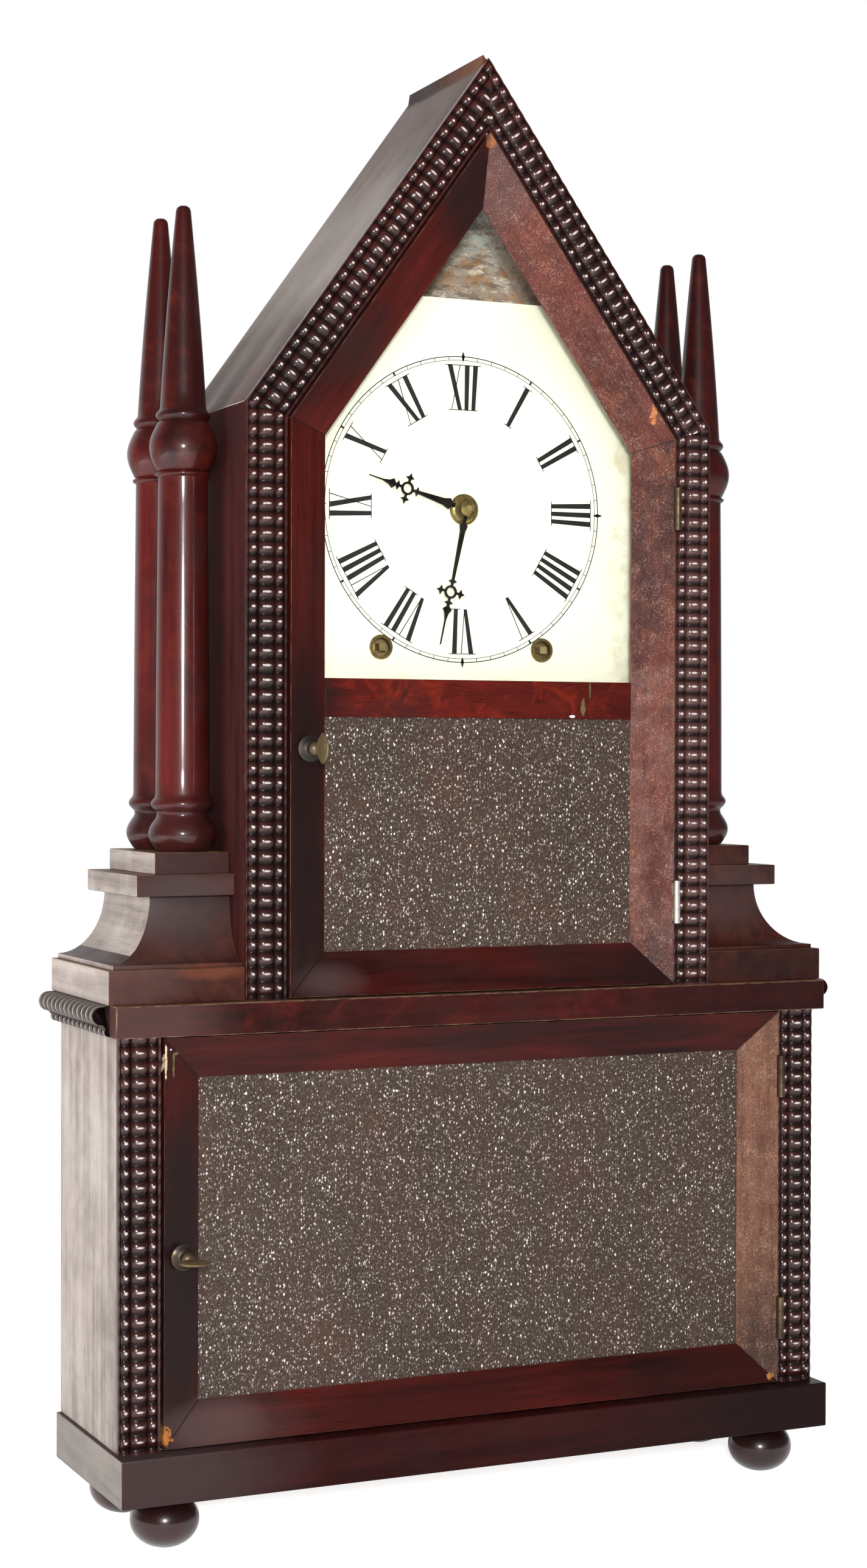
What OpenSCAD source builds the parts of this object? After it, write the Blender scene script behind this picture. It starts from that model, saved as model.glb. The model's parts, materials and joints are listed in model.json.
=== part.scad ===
// Double-steeple shelf clock with ripple mouldings, time and strike, wagon spring in the base.
// Millimetres. +Z is up, the dial faces -Y, and the clock stands on the plane z = 0.
// Depths are counted forwards from the flat back of the case: depth 0 is the back.

/* [Lower case] */
// Width of the lower case over its side boards
lower_w = 353; // [340:1:370]
// Height of the lower case between base and cornice
lower_h = 181; // [170:1:200]
// Depth of the case from its back to the front edge of its boards
board_depth = 83; // [80:0.5:92]
// How far the right roof board's worn end laps over the ridge
ridge_lap = 2.6; // [1:0.1:4]
// Thickness of side boards and roof boards
side_t = 9; // [7:0.5:10]
// Thickness of the back boards
back_t = 6; // [4:0.5:8]
// Thickness of the bottom board
bottom_t = 8; // [5:0.5:12]

/* [Base and feet] */
// Height of the base moulding
base_h = 21; // [16:0.5:26]
// How far the base stands proud of the case side
base_proud = 2; // [1:0.5:5]
// Depth of the base from the back to its front
base_depth = 97; // [95:0.5:104]
// Width of a base rail seen from above
base_rail = 14; // [10:0.5:14]
// Height of a bun foot
foot_h = 22.5; // [18:0.5:28]
// Greatest radius of a bun foot
foot_r = 15.3; // [13:0.1:17]
// Foot centre in from the end of the base
foot_inset = 26; // [18:0.5:34]
// Foot centre in from the front and the back of the base
foot_setback = 19; // [17:0.5:28]

/* [Cornice and plinths] */
// Thickness of the cornice board
cornice_h = 14; // [11:0.5:18]
// How far the cornice board stands proud of the case side
cornice_proud = 3; // [2:0.5:5]
// Depth of the cornice board
cornice_depth = 92; // [89:0.5:96]
// How far the ripple moulding under the cornice end stands out
cornice_ripple_out = 8.5; // [6:0.5:11]
// Outer edge of a plinth slab from the middle of the clock
plinth_x = 181; // [178:0.5:184]
// Depth of a plinth slab
plinth_depth = 85.5; // [80:0.5:88]
// Height of a plinth slab
plinth_h = 15; // [12:0.5:18]
// Height of the coved neck on the slab
cove_h = 31; // [26:0.5:36]
// Outer edge of the neck's top from the middle of the clock
neck_x = 155.7; // [153:0.1:158]
// Depth of the neck's top
neck_depth = 65.5; // [63:0.5:68]
// Lip left between the foot of the cove and the slab's edge
cove_lip = 3; // [1.5:0.5:5]
// Outer edge of the cap slab
cap_x = 163.8; // [161:0.1:167]
// Depth of the cap slab
cap_depth = 72; // [69:0.5:76]
// Height of the cap slab
cap_h = 9.5; // [8:0.5:12]
// Outer edge of the step slab under the columns
step_x = 153.2; // [152:0.1:156]
// Depth of the step slab
step_depth = 65; // [64:0.5:68]
// Height of the step slab
step_h = 9.5; // [8:0.5:12]

/* [Columns] */
// Column centre from the middle of the clock
column_x = 134; // [133.8:0.1:136]
// Radius of the bun at a column's foot
column_bun_r = 15.5; // [14:0.1:15.6]
// Gap between the two buns of a pair
column_gap = 0.5; // [0.3:0.1:1]
// Radius of the shaft at its foot
shaft_r = 12.2; // [10:0.1:13]
// Radius of the shaft at its head
shaft_top_r = 11.2; // [9:0.1:12]
// Height of the shaft from the step slab to the ball
shaft_top = 171; // [150:1:185]
// Radius of the ball
ball_r = 15.4; // [13:0.1:15.6]
// Height of the ball
ball_h = 21; // [18:0.5:24]
// Radius of the spire at its foot
spire_r = 10.5; // [9:0.1:11.5]
// Radius of the spire just under its tip
spire_tip_r = 3.4; // [2.5:0.1:4.5]
// Height of a whole column with its spire
column_h = 291; // [270:1:310]

/* [Upper case] */
// Width of the upper case over its side boards
upper_w = 236; // [232:1:236]
// Height of the upper case from the cornice to the shoulder
shoulder_h = 265; // [255:1:275]
// Height of the gable from shoulder to ridge
gable_h = 163.5; // [155:0.5:170]

/* [Ripple mouldings] */
// Width of a ripple moulding
ripple_w = 19.5; // [18:0.5:21]
// Thickness of a ripple moulding
ripple_t = 5; // [4:0.1:6]
// Length of one ripple
ripple_pitch = 6.5; // [5:0.1:9]
// Depth of the hollow between ripples
ripple_dip = 0.8; // [0.4:0.1:1.2]

/* [Doors] */
// Gap round each door
door_gap = 0.8; // [0.6:0.1:1.2]
// Thickness of the doors at their outer edge
door_t = 14.4; // [13:0.1:15]
// Width of the upper door's members
upper_member_w = 19.5; // [17:0.5:22]
// Width of the lower door's members
lower_member_w = 18.5; // [17:0.5:22]
// Fall of the bevel from the outer edge to the sight edge
bevel_fall = 8; // [6:0.5:8.5]
// Width of the rabbet that holds the glass
rabbet_w = 5.5; // [4:0.5:7]
// Thickness of the glass
glass_t = 2; // [1.5:0.1:2.5]
// Foot of the mid rail above the foot of the upper door
mid_rail_z = 125; // [115:0.5:128]
// Height of the mid rail
mid_rail_h = 17.5; // [14:0.5:22]
// Lip of the face frame that stops a door
stop_lip = 5; // [4:0.5:6]
// Share of the room between dial and door that the door stops fill
stop_share = 0.5; // [0.35:0.05:0.65]

/* [Knobs and hinges] */
// Height of the upper knob above the cornice
upper_knob_z = 111.5; // [100:0.5:118]
// Height of the lower knob above the base
lower_knob_z = 84; // [70:0.5:110]
// Radius of a knob's rosette
rosette_r = 6; // [5:0.1:6.5]
// Radius of a knob's spindle
spindle_r = 1.6; // [1.2:0.1:2.2]
// Radius of the flat thumb piece
thumb_r = 7; // [5:0.1:8]
// Thickness of the thumb piece
thumb_t = 2; // [1.5:0.1:3]
// Reach of a knob in front of the door's outer edge
knob_reach = 20; // [19:0.5:24]
// Length of the turn latch's tongue
tongue_l = 12.5; // [12:0.1:13.5]
// Length of a hinge
hinge_l = 20; // [16:1:26]
// Radius of a hinge knuckle
knuckle_r = 1.7; // [1.5:0.1:2]
// Radius of a hinge pin
hinge_pin_r = 0.8; // [0.6:0.05:0.9]
// Width of a hinge leaf
leaf_w = 7; // [5:0.5:8]
// Thickness of a hinge leaf
leaf_t = 0.7; // [0.5:0.1:0.8]
// Height of the upper door's lower hinge above the cornice
hinge_low_z = 29.5; // [25:0.5:60]
// Height of the upper door's upper hinge above the cornice
hinge_high_z = 215.5; // [190:0.5:222]
// Hinge in from the top and the foot of the lower door
lower_hinge_inset = 22; // [18:0.5:50]

/* [Dial and hands] */
// Height of the dial's centre above the cornice
dial_z = 223.7; // [218:0.1:228]
// Depth of the dial's face from the back of the case
dial_depth = 59; // [58:0.5:60]
// Thickness of the dial plate
dial_t = 0.8; // [0.5:0.1:1.2]
// Top edge of the dial above its centre
dial_up = 98.3; // [90:0.1:102]
// Foot of the dial below its centre
dial_down = 90; // [87:0.5:94]
// Half of the dial plate's width
dial_half_w = 104; // [100:0.5:107]
// Radius of the dial's centre hole
dial_hole_r = 5; // [4.5:0.1:7]
// Length of the minute hand from the centre
minute_l = 64.8; // [58:0.1:70]
// Length of the hour hand from the centre
hour_l = 50.7; // [44:0.1:55]
// Thickness of the hands
hand_t = 0.8; // [0.5:0.1:1]
// Minutes past the hour that the hands show
shown_minute = 32; // [0:1:59]
// Hour that the hands show
shown_hour = 9; // [1:1:12]

/* [Movement] */
// Thickness of the movement plates
plate_t = 1.6; // [1.2:0.1:2]
// Depth of the back plate's rear face
plate_back = 18; // [17:0.5:19]
// Clear space between the plates
plate_space = 30.4; // [30:0.1:31]
// Radius of the plates' pillars
pillar_r = 3; // [2:0.1:3.5]
// Module of the great and second wheels
great_module = 0.8; // [0.79:0.005:0.81]
// Teeth of each great wheel
great_teeth = 80; // [78:1:82]
// Leaves of each second pinion
second_leaves = 16; // [15:1:17]
// Teeth of the time second wheel
second_teeth = 80; // [78:1:82]
// Leaves of the centre pinion
centre_leaves = 17; // [16:1:18]
// Direction from the centre arbor to the second arbor, in degrees
second_dir = 237.4; // [236:0.1:239]
// Direction from the second arbor to the great arbor, in degrees
great_dir = 237.4; // [236:0.1:239]
// Module of the centre, third and strike wheels
fine_module = 0.5; // [0.49:0.005:0.51]
// Teeth of the centre wheel
centre_teeth = 84; // [82:1:86]
// Teeth of the third wheel
third_teeth = 78; // [76:1:80]
// Leaves of the fine pinions
fine_leaves = 8; // [8:1:9]
// Direction from the centre arbor to the third arbor, in degrees
third_dir = 125; // [122:0.5:128]
// Teeth of the escape wheel
escape_teeth = 36; // [30:1:40]
// Radius of the escape wheel
escape_r = 13; // [11:0.1:13.5]
// Thickness of the wheels
wheel_t = 1.6; // [1:0.1:1.8]
// Radius of an arbor
arbor_r = 1.5; // [1.2:0.05:1.6]
// Radius of a pivot
pivot_r = 0.9; // [0.7:0.05:1]
// Radial clearance of a running fit
run_fit = 0.05; // [0.03:0.01:0.08]
// Radius of a great arbor
great_arbor_r = 2.5; // [2:0.1:3]
// Radius of the cord drums
drum_r = 9; // [8:0.1:10]
// Radius of the drive cords
cord_r = 0.9; // [0.7:0.05:1.1]
// Side of the winding squares
winding_square = 3.4; // [2.8:0.1:3.5]
// Module of the motion work
motion_module = 0.8; // [0.78:0.01:0.82]
// Radius of the bell at its mouth
bell_r = 26; // [22:0.5:28]
// Radius of the pendulum bob
bob_r = 20; // [16:0.5:22]
// Thickness of the pendulum bob
bob_t = 11; // [8:0.5:12]
// Length from the pendulum's bend to the bob's centre
pendulum_l = 236; // [228:1:240]

/* [Wagon spring] */
// Leaves in the spring
leaf_count = 7; // [4:1:8]
// Thickness of one leaf
spring_leaf_t = 1.6; // [1.2:0.1:2]
// Width of the leaves
spring_w = 30; // [24:1:36]
// Half of the main leaf's span
spring_half = 145; // [135:1:148]
// Radius that the main leaf is bent to
spring_bend_r = 520; // [450:10:700]
// Height of the saddle under the spring
saddle_h = 14; // [10:0.5:24]
// Height of the levers' pivots above the base
lever_z = 88; // [80:0.5:110]

/* [Hidden] */
$fn = 64;

reach = 400;                                   // longer than anything that it cuts
y_back = (board_depth + ripple_t + knob_reach) / 2;
base_half = lower_w / 2 + base_proud;
lower_half = lower_w / 2;
upper_half = upper_w / 2;
z_base = foot_h;
z_lower = z_base + base_h;
z_cornice = z_lower + lower_h;
z_deck = z_cornice + cornice_h;
z_shoulder = z_deck + shoulder_h;
gable_angle = atan(gable_h / upper_half);
front = board_depth + ripple_t;                // depth of the mouldings' and doors' outer faces
door_back = front - door_t;
stop_front = door_back - 0.6;
stop_back = stop_front - stop_share * (stop_front - dial_depth);
sight = front - bevel_fall;                    // depth of the bevels' inner edges
glass_front = sight - 0.6;
door_off = ripple_w + door_gap;                // a door's edge in from the case's outer face
lower_door_half = lower_half - door_off;
upper_door_half = upper_half - door_off;
hinge_front = front + knuckle_r + 0.2;         // depth of the hinge pins

column_front = step_depth - 2.5 - column_bun_r;
column_rear = column_front - 2 * column_bun_r - column_gap;
z_column = z_deck + plinth_h + cove_h + cap_h + step_h;

z_centre = z_deck + dial_z;
second_cd = great_module * (great_teeth + second_leaves) / 2;
centre_cd = great_module * (second_teeth + centre_leaves) / 2;
fine_cd = fine_module * (centre_teeth + fine_leaves) / 2;
escape_cd = fine_module * (third_teeth + fine_leaves) / 2;
function polar(r, a) = [r * cos(a), r * sin(a)];
centre_p = [0, z_centre];
second_p = centre_p + polar(centre_cd, second_dir);
great_p = second_p + polar(second_cd, great_dir);
third_p = centre_p + polar(fine_cd, third_dir);
escape_dir = acos(-third_p[0] / escape_cd);    // puts the escape wheel on the clock's middle line
escape_p = third_p + polar(escape_cd, escape_dir);
great_tip = great_module * (great_teeth / 2 + 0.8);

front_plate_d = plate_back + plate_t + plate_space;
plate_front = front_plate_d + plate_t;
great_d = plate_back + plate_t + 3.6;
drum_d0 = great_d + wheel_t + 1.2;
drum_d1 = drum_d0 + 15;
cord_d = (drum_d0 + drum_d1) / 2;
second_d = front_plate_d - 4.4;
centre_d = great_d + 10;
third_d = great_d + 4;
escape_d = plate_back + plate_t + 2.2;
wound_r = drum_r + 2 * cord_r;
cord_x = -great_p[0] + drum_r + cord_r;

pin_teeth = 90;                                // teeth of the strike pin wheel
warning_teeth = 60;
pin_circle = fine_module * (pin_teeth / 2 - 1) - 1;
pin_p = [-second_p[0], second_p[1]];
great_s = [-great_p[0], great_p[1]];
warning_cd = fine_module * (pin_teeth + fine_leaves) / 2;
warning_dir = 60;
warning_p = pin_p + polar(warning_cd, warning_dir);
fly_cd = fine_module * (warning_teeth + fine_leaves) / 2;
fly_dir = 60;
fly_p = warning_p + polar(fly_cd, fly_dir);
pin_d = second_d - 6;
warning_d = pin_d - 10;

suspend_p = [0, escape_p[1] + escape_r + 20];  // where the pendulum spring bends
verge_p = [0, escape_p[1] + escape_r + 6];
rod_d = plate_back - 4;                        // depth of the pendulum rod
fork_z = escape_p[1] - 10;
pillar_off = (great_tip + pillar_r + 1.4) * sin(45);
pillar_x = great_s[0] + pillar_off;
pillar_low = great_s[1] - pillar_off;
pillar_high = escape_p[1] + 7;

motion_cd = motion_module * (12 + 36) / 2;
motion_dir = 225;
hour_module = motion_cd * 2 / (10 + 40);
motion_p = centre_p + polar(motion_cd, motion_dir);
cannon_d = plate_front + 0.8;
hour_wheel_d = cannon_d + 2.8;
hour_hand_d = dial_depth + 2.2;
minute_hand_d = hour_hand_d + hand_t + 1.2;
cannon_r = 2.2;
pipe_r = cannon_r + 0.05;

bell_p = [20, z_deck + 89.5];
bell_mouth = drum_d1 + 4;
hammer_p = great_s + [16.4, 38.8];
hammer_d = second_d;
head_gap = 1.2;
head_r = 3.5;
head_p = bell_p + polar(bell_r + head_gap + head_r, 44);

lever_x = lower_half - side_t - 9;             // levers' pivots
leaf_end_x = spring_half - 5;
lever_p = [lever_x, z_lower + lever_z];
spring_pitch = spring_leaf_t + 0.1;
spring_top = z_lower + saddle_h + leaf_count * spring_pitch;
spring_d0 = cord_d - spring_w / 2;

// A block given by its ends across, its depths from the back, and its heights
module block(x0, x1, d0, d1, z0, z1) {
    translate([x0, y_back - d1, z0]) cube([x1 - x0, d1 - d0, z1 - z0]);
}

// A flat outline in x and z, as thick as from depth d0 to depth d1
module slice(d0, d1) {
    translate([0, y_back - d0, 0]) rotate([90, 0, 0]) linear_extrude(d1 - d0) children();
}

// A round rod that lies front to back
module rod_y(p, d0, d1, r) {
    translate([p[0], y_back - d0, p[1]]) rotate([90, 0, 0]) cylinder(h = d1 - d0, r = r);
}

// A shape turned about an axis that lies front to back, its profile as [radius, depth]
module turned_y(p) {
    translate([p[0], y_back, p[1]]) rotate([90, 0, 0]) rotate_extrude() children();
}

module both_sides() {
    children();
    mirror([1, 0, 0]) children();
}

// Outline of the steeple set in by off: its half width, ridge and shoulder
function half_at(off) = upper_half - off;
function ridge_at(off) = z_shoulder + gable_h - off / cos(gable_angle);
function shoulder_at(off) = ridge_at(off) - tan(gable_angle) * half_at(off);
function stile_outline(o0, o1, z0) = [[-half_at(o0), z0], [-half_at(o0), shoulder_at(o0)],
    [-half_at(o1), shoulder_at(o1)], [-half_at(o1), z0]];
function gable_outline(o0, o1) = [[-half_at(o0), shoulder_at(o0)], [0, ridge_at(o0)],
    [0, ridge_at(o1)], [-half_at(o1), shoulder_at(o1)]];
function house_outline(off, z0) = [[-half_at(off), z0], [-half_at(off), shoulder_at(off)], [0, ridge_at(off)],
    [half_at(off), shoulder_at(off)], [half_at(off), z0]];

// A long bar whose section is given as [in from the outer edge, depth]; turn 0 runs up
module bar(p, turn, length) {
    translate([p[0], 0, p[1]]) rotate([0, turn, 0]) translate([0, 0, -length / 2])
        linear_extrude(length) translate([0, y_back]) mirror([0, 1]) children();
}

// ---------- mouldings ----------

// Section of a ripple moulding: a bead at each edge and a broad roll between them
module ripple_section(dip) {
    bead = 1.9;
    translate([0, board_depth]) {
        square([ripple_w, ripple_t * 0.42 - dip / 2]);
        for (s = [bead + 0.2, ripple_w - bead - 0.2]) intersection() {
            translate([s, ripple_t * 0.4]) circle(r = bead - dip / 2);
            translate([0, 0]) square([ripple_w, reach]);
        }
        intersection() {
            translate([ripple_w / 2, 0]) circle(r = ripple_t - dip);
            translate([0, 0]) square([ripple_w, reach]);
        }
    }
}

// One straight run of ripple moulding from height 0 to length
module ripple_run(length) {
    swell = ripple_pitch * 0.6;
    translate([0, y_back, 0]) mirror([0, 1, 0]) {
        linear_extrude(length) ripple_section(ripple_dip);
        for (z = [0 : ripple_pitch : length - swell])
            translate([0, 0, z + (ripple_pitch - swell) / 2]) linear_extrude(swell) ripple_section(0);
    }
}

module stile_ripple(half, z0, z1) {
    translate([-half, 0, z0]) ripple_run(z1 - z0);
}

module base_frame() color([0.24, 0.07, 0.06]) {
    slice(base_depth - base_rail, base_depth) polygon([[-base_half, z_base], [base_half, z_base],
        [base_half, z_lower], [-base_half, z_lower]]);
    both_sides() block(base_half - base_rail, base_half, 0, base_depth - base_rail, z_base, z_lower);
    block(base_rail - base_half, base_half - base_rail, 0, base_rail, z_base, z_lower);
}

// Bun foot: a flattened ball with a small flat to stand on
module bun() {
    mid = foot_h * 0.52;
    flat = 14;
    function bun_r(z) = foot_r * sqrt(1 - pow((z - mid) / (mid * 1.05), 2));
    rotate_extrude() polygon(concat([[0, 0]], [for (i = [0 : flat]) [bun_r(foot_h * i / flat), foot_h * i / flat]],
        [[0, foot_h]]));
}

module bun_feet() color([0.26, 0.06, 0.05]) {
    for (x = [-1, 1], d = [foot_setback, base_depth - foot_setback])
        translate([x * (base_half - foot_inset), y_back - d, 0]) bun();
}

module bottom_board() color([0.55, 0.4, 0.26])
    block(base_rail - base_half, base_half - base_rail, base_rail, base_depth - base_rail,
        z_lower - bottom_t, z_lower);

module lower_sides() color([0.3, 0.13, 0.09])
    both_sides() block(lower_half - side_t, lower_half, 0, board_depth, z_lower, z_cornice);

module lower_back_board() color([0.5, 0.36, 0.24])
    block(side_t - lower_half, lower_half - side_t, 0, back_t, z_lower, z_cornice);

// Pocket in a face frame for the tongue of a turn latch
module latch_pocket(x, z) {
    block(x - tongue_l - 2.5, x - 3.4, stop_front - 3, reach, z - tongue_l - 1.8, z + 5);
}

// Stile of a face frame: it backs the ripple moulding and stops the door
module face_stile(half, z0, z1) {
    block(side_t - half, door_off - 0.4 - half, stop_back, board_depth, z0, z1);
    block(door_off - 0.5 - half, door_off + stop_lip - half, stop_back, stop_front, z0, z1);
}

module lower_face_frame() color([0.42, 0.26, 0.17]) {
    difference() {
        face_stile(lower_half, z_lower, z_cornice);
        latch_pocket(lower_knob_x, z_lower + lower_knob_z);
    }
    difference() {
        mirror([1, 0, 0]) face_stile(lower_half, z_lower, z_cornice);
        leaf_recesses(lower_door_half, lower_hinge_zs);
    }
}

module lower_ripples() color([0.26, 0.08, 0.07]) {
    stile_ripple(lower_half, z_lower, z_cornice);
    difference() {
        mirror([1, 0, 0]) stile_ripple(lower_half, z_lower, z_cornice);
        leaf_recesses(lower_door_half, lower_hinge_zs);
    }
}

module cornice_board() color([0.22, 0.07, 0.06]) difference() {
    block(-lower_half - cornice_proud, lower_half + cornice_proud, 0, cornice_depth, z_cornice, z_deck);
    for (x = [-cord_x, cord_x]) translate([x, y_back - cord_d, z_cornice - 1]) cylinder(h = cornice_h + 2, r = 5);
}

// Leaning section of the moulding under the cornice's ends: [out from the board, up]
function lean(dip) = let (out = cornice_ripple_out, h = cornice_h) [[0, h], [out - dip, h],
    [out - dip * 0.9, h * 0.7], [out * 0.8 - dip, h * 0.62], [out * 0.76 - dip, h * 0.4],
    [out * 0.4 - dip / 2, h * 0.2], [1, 0], [0, 0]];

// Ripple moulding that leans out under each end of the cornice, as short swells on a core
module cornice_ripples() color([0.3, 0.2, 0.18]) {
    x0 = lower_half + cornice_proud;
    length = board_depth;
    swell = ripple_pitch * 0.6;
    both_sides() translate([x0, y_back, z_cornice]) rotate([90, 0, 0]) {
        linear_extrude(length) polygon(lean(ripple_dip));
        for (d = [0 : ripple_pitch : length - swell])
            translate([0, 0, d + (ripple_pitch - swell) / 2]) linear_extrude(swell) polygon(lean(0));
    }
}

// ---------- plinths and columns ----------

module plinth_slabs() color([0.24, 0.09, 0.07])
    both_sides() block(upper_half, plinth_x, 0, plinth_depth, z_deck, z_deck + plinth_h);

// Hollow curve of the neck, from its narrow top at 0 to its wide foot
steps = 16;
cove_rise = cove_h - 2;
function cove_curve(top, foot) = [for (i = [0 : steps])
    [top + (foot - top) * (1 - cos(90 * i / steps)), cove_h - cove_rise * sin(90 * i / steps)]];

module plinth_coves() color([0.27, 0.1, 0.08]) {
    z0 = z_deck + plinth_h;
    both_sides() intersection() {
        translate([0, 0, z0]) slice(0, reach)
            polygon(concat([[upper_half, cove_h]], cove_curve(neck_x, plinth_x - cove_lip),
                [[plinth_x - cove_lip, 0], [upper_half, 0]]));
        translate([upper_half, y_back, z0]) rotate([90, 0, 90]) linear_extrude(reach) mirror([1, 0])
            polygon(concat([[0, cove_h]], cove_curve(neck_depth, plinth_depth - cove_lip),
                [[plinth_depth - cove_lip, 0], [0, 0]]));
    }
}

module plinth_caps() color([0.23, 0.08, 0.07])
    both_sides() block(upper_half, cap_x, 0, cap_depth, z_deck + plinth_h + cove_h,
        z_deck + plinth_h + cove_h + cap_h);

module plinth_steps() color([0.22, 0.08, 0.07])
    both_sides() block(upper_half, step_x, 0, step_depth, z_column - step_h, z_column);

// Turned column: bun, torus, tapered shaft, ball between two rings, and a tall spire
module column() {
    bun_h = 15;
    arc = 10;
    spire_z = shaft_top + ball_h + 7.5;
    function bulge(z0, h, r0, r1) = [for (i = [0 : arc])
        [r0 + (r1 - r0) * sin(180 * i / arc), z0 + h * i / arc]];
    rotate_extrude() polygon(concat(
        [[0, 0]],
        [[column_bun_r * 0.72, 0]],
        bulge(0.8, bun_h - 0.8, column_bun_r * 0.8, column_bun_r),
        [[shaft_r - 0.6, bun_h + 1.2], [shaft_r - 0.6, bun_h + 2.8], [shaft_r, bun_h + 3.4]],
        bulge(bun_h + 4, 5.4, shaft_r + 0.2, shaft_r + 2.2),
        [[shaft_r, bun_h + 10.6], [shaft_top_r, shaft_top - 3]],
        bulge(shaft_top - 2.4, 2.4, shaft_top_r + 0.1, shaft_top_r + 1.6),
        bulge(shaft_top + 0.6, ball_h, shaft_top_r + 0.8, ball_r),
        [[spire_r + 0.4, shaft_top + ball_h + 2]],
        bulge(shaft_top + ball_h + 2.4, 3.8, spire_r + 0.6, spire_r + 2),
        [[spire_r, spire_z], [spire_tip_r, column_h - 2.2], [spire_tip_r * 0.72, column_h - 0.5], [0, column_h]]));
}

module column_pair() {
    for (d = [column_front, column_rear]) translate([column_x, y_back - d, z_column]) column();
}

module columns_left() color([0.3, 0.07, 0.06]) mirror([1, 0, 0]) column_pair();

module columns_right() color([0.3, 0.07, 0.06]) column_pair();

// ---------- upper case ----------

module upper_sides() color([0.3, 0.12, 0.09])
    both_sides() slice(0, board_depth) polygon(stile_outline(0, side_t, z_deck));

// Two sloping boards; the right one's worn end laps over the ridge
module roof_boards() color([0.33, 0.2, 0.16]) {
    top = ridge_at(0);
    tip = [-ridge_lap * cos(gable_angle), top + ridge_lap * sin(gable_angle)];
    slice(0, board_depth) {
        polygon(gable_outline(0, side_t));
        mirror([1, 0]) polygon(gable_outline(0, side_t));
        polygon([[2, top - 2 * tan(gable_angle)], tip, [tip[0] - 0.9, top + (tip[0] - 1.2) * tan(gable_angle)],
            [0, top - 6]]);
    }
}

module upper_back_board() color([0.44, 0.36, 0.27])
    slice(0, back_t) polygon(house_outline(side_t, z_deck));

// Left stile of the upper face frame, with its stop lip
module upper_stile() {
    inner = door_off - 0.4;
    slice(stop_back, board_depth) polygon(stile_outline(side_t, inner, z_deck));
    slice(stop_back, stop_front) polygon(stile_outline(inner - 0.1, door_off + stop_lip, z_deck));
}

module upper_face_frame() color([0.4, 0.25, 0.17]) {
    inner = door_off - 0.4;
    lip = door_off + stop_lip;
    difference() {
        upper_stile();
        latch_pocket(upper_knob_x, z_deck + upper_knob_z);
    }
    difference() {
        mirror([1, 0, 0]) upper_stile();
        leaf_recesses(upper_door_half, upper_hinge_zs);
    }
    both_sides() {
        slice(stop_back, board_depth) polygon(gable_outline(side_t, inner));
        slice(stop_back, stop_front) polygon(gable_outline(inner - 0.1, lip));
    }
}

module upper_ripples() color([0.26, 0.08, 0.07]) {
    length = shoulder_h + 2;
    intersection() {
        translate([-upper_half, 0, z_deck]) ripple_run(length);
        slice(board_depth - 1, front + 1) polygon(stile_outline(-1, ripple_w + 1, z_deck));
    }
    mirror([1, 0, 0]) difference() {
        intersection() {
            translate([-upper_half, 0, z_deck]) ripple_run(length);
            slice(board_depth - 1, front + 1) polygon(stile_outline(-1, ripple_w + 1, z_deck));
        }
        mirror([1, 0, 0]) leaf_recesses(upper_door_half, upper_hinge_zs);
    }
}

module gable_ripples() color([0.26, 0.08, 0.07]) {
    length = gable_h / sin(gable_angle);
    both_sides() intersection() {
        translate([-upper_half, 0, z_shoulder]) rotate([0, 90 - gable_angle, 0]) translate([0, 0, 0])
            ripple_run(length);
        slice(board_depth - 1, front + 1) polygon(gable_outline(-1, ripple_w + 1));
    }
}

// ---------- hinges ----------

upper_hinge_zs = [z_deck + hinge_low_z, z_deck + hinge_high_z];
lower_hinge_zs = [z_lower + lower_hinge_inset, z_cornice - lower_hinge_inset - hinge_l];
knuckle_l = hinge_l / 3;
function pin_x(half) = half + door_gap / 2;

// Recesses for the fixed leaves in the wood beside a door
module leaf_recesses(half, zs) {
    for (z = zs) block(half + door_gap - 0.05, half + door_gap + leaf_t, front - leaf_w, reach, z, z + hinge_l);
}

// Recesses for the moving leaves in a door's edge
module door_recesses(half, zs) {
    for (z = zs) block(half - leaf_t, half + 0.05, front - leaf_w, reach, z, z + hinge_l);
}

// Fixed half of one hinge: leaf, two outer knuckles and the pin
module fixed_leaf(half, z) {
    px = pin_x(half);
    block(half + door_gap, half + door_gap + leaf_t, front - leaf_w, front, z, z + hinge_l);
    difference() {
        union() {
            for (k = [0, 2]) {
                block(px + knuckle_r * 0.2, half + door_gap + leaf_t, front - 0.5, hinge_front,
                    z + k * knuckle_l, z + (k + 1) * knuckle_l);
                translate([px, y_back - hinge_front, z + k * knuckle_l]) cylinder(h = knuckle_l, r = knuckle_r);
            }
        }
        translate([px, y_back - hinge_front, z - 1]) cylinder(h = hinge_l + 2, r = hinge_pin_r - 0.01);
    }
    translate([px, y_back - hinge_front, z]) cylinder(h = hinge_l, r = hinge_pin_r);
}

// Moving half of one hinge: leaf and the middle knuckle, bored for the pin
module moving_leaf(half, z) {
    px = pin_x(half);
    gap = 0.15;
    block(half - leaf_t, half, front - leaf_w, front, z, z + hinge_l);
    difference() {
        union() {
            block(half - leaf_t, px - knuckle_r * 0.2, front - 0.5, hinge_front, z + knuckle_l + gap,
                z + 2 * knuckle_l - gap);
            translate([px, y_back - hinge_front, z + knuckle_l + gap])
                cylinder(h = knuckle_l - 2 * gap, r = knuckle_r);
        }
        translate([px, y_back - hinge_front, z]) cylinder(h = hinge_l, r = hinge_pin_r + run_fit);
    }
}

module case_hinge_leaves() color([0.8, 0.7, 0.45]) {
    for (z = upper_hinge_zs) fixed_leaf(upper_door_half, z);
    for (z = lower_hinge_zs) fixed_leaf(lower_door_half, z);
}

module upper_door_leaves() color([0.8, 0.7, 0.45])
    for (z = upper_hinge_zs) moving_leaf(upper_door_half, z);

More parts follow.
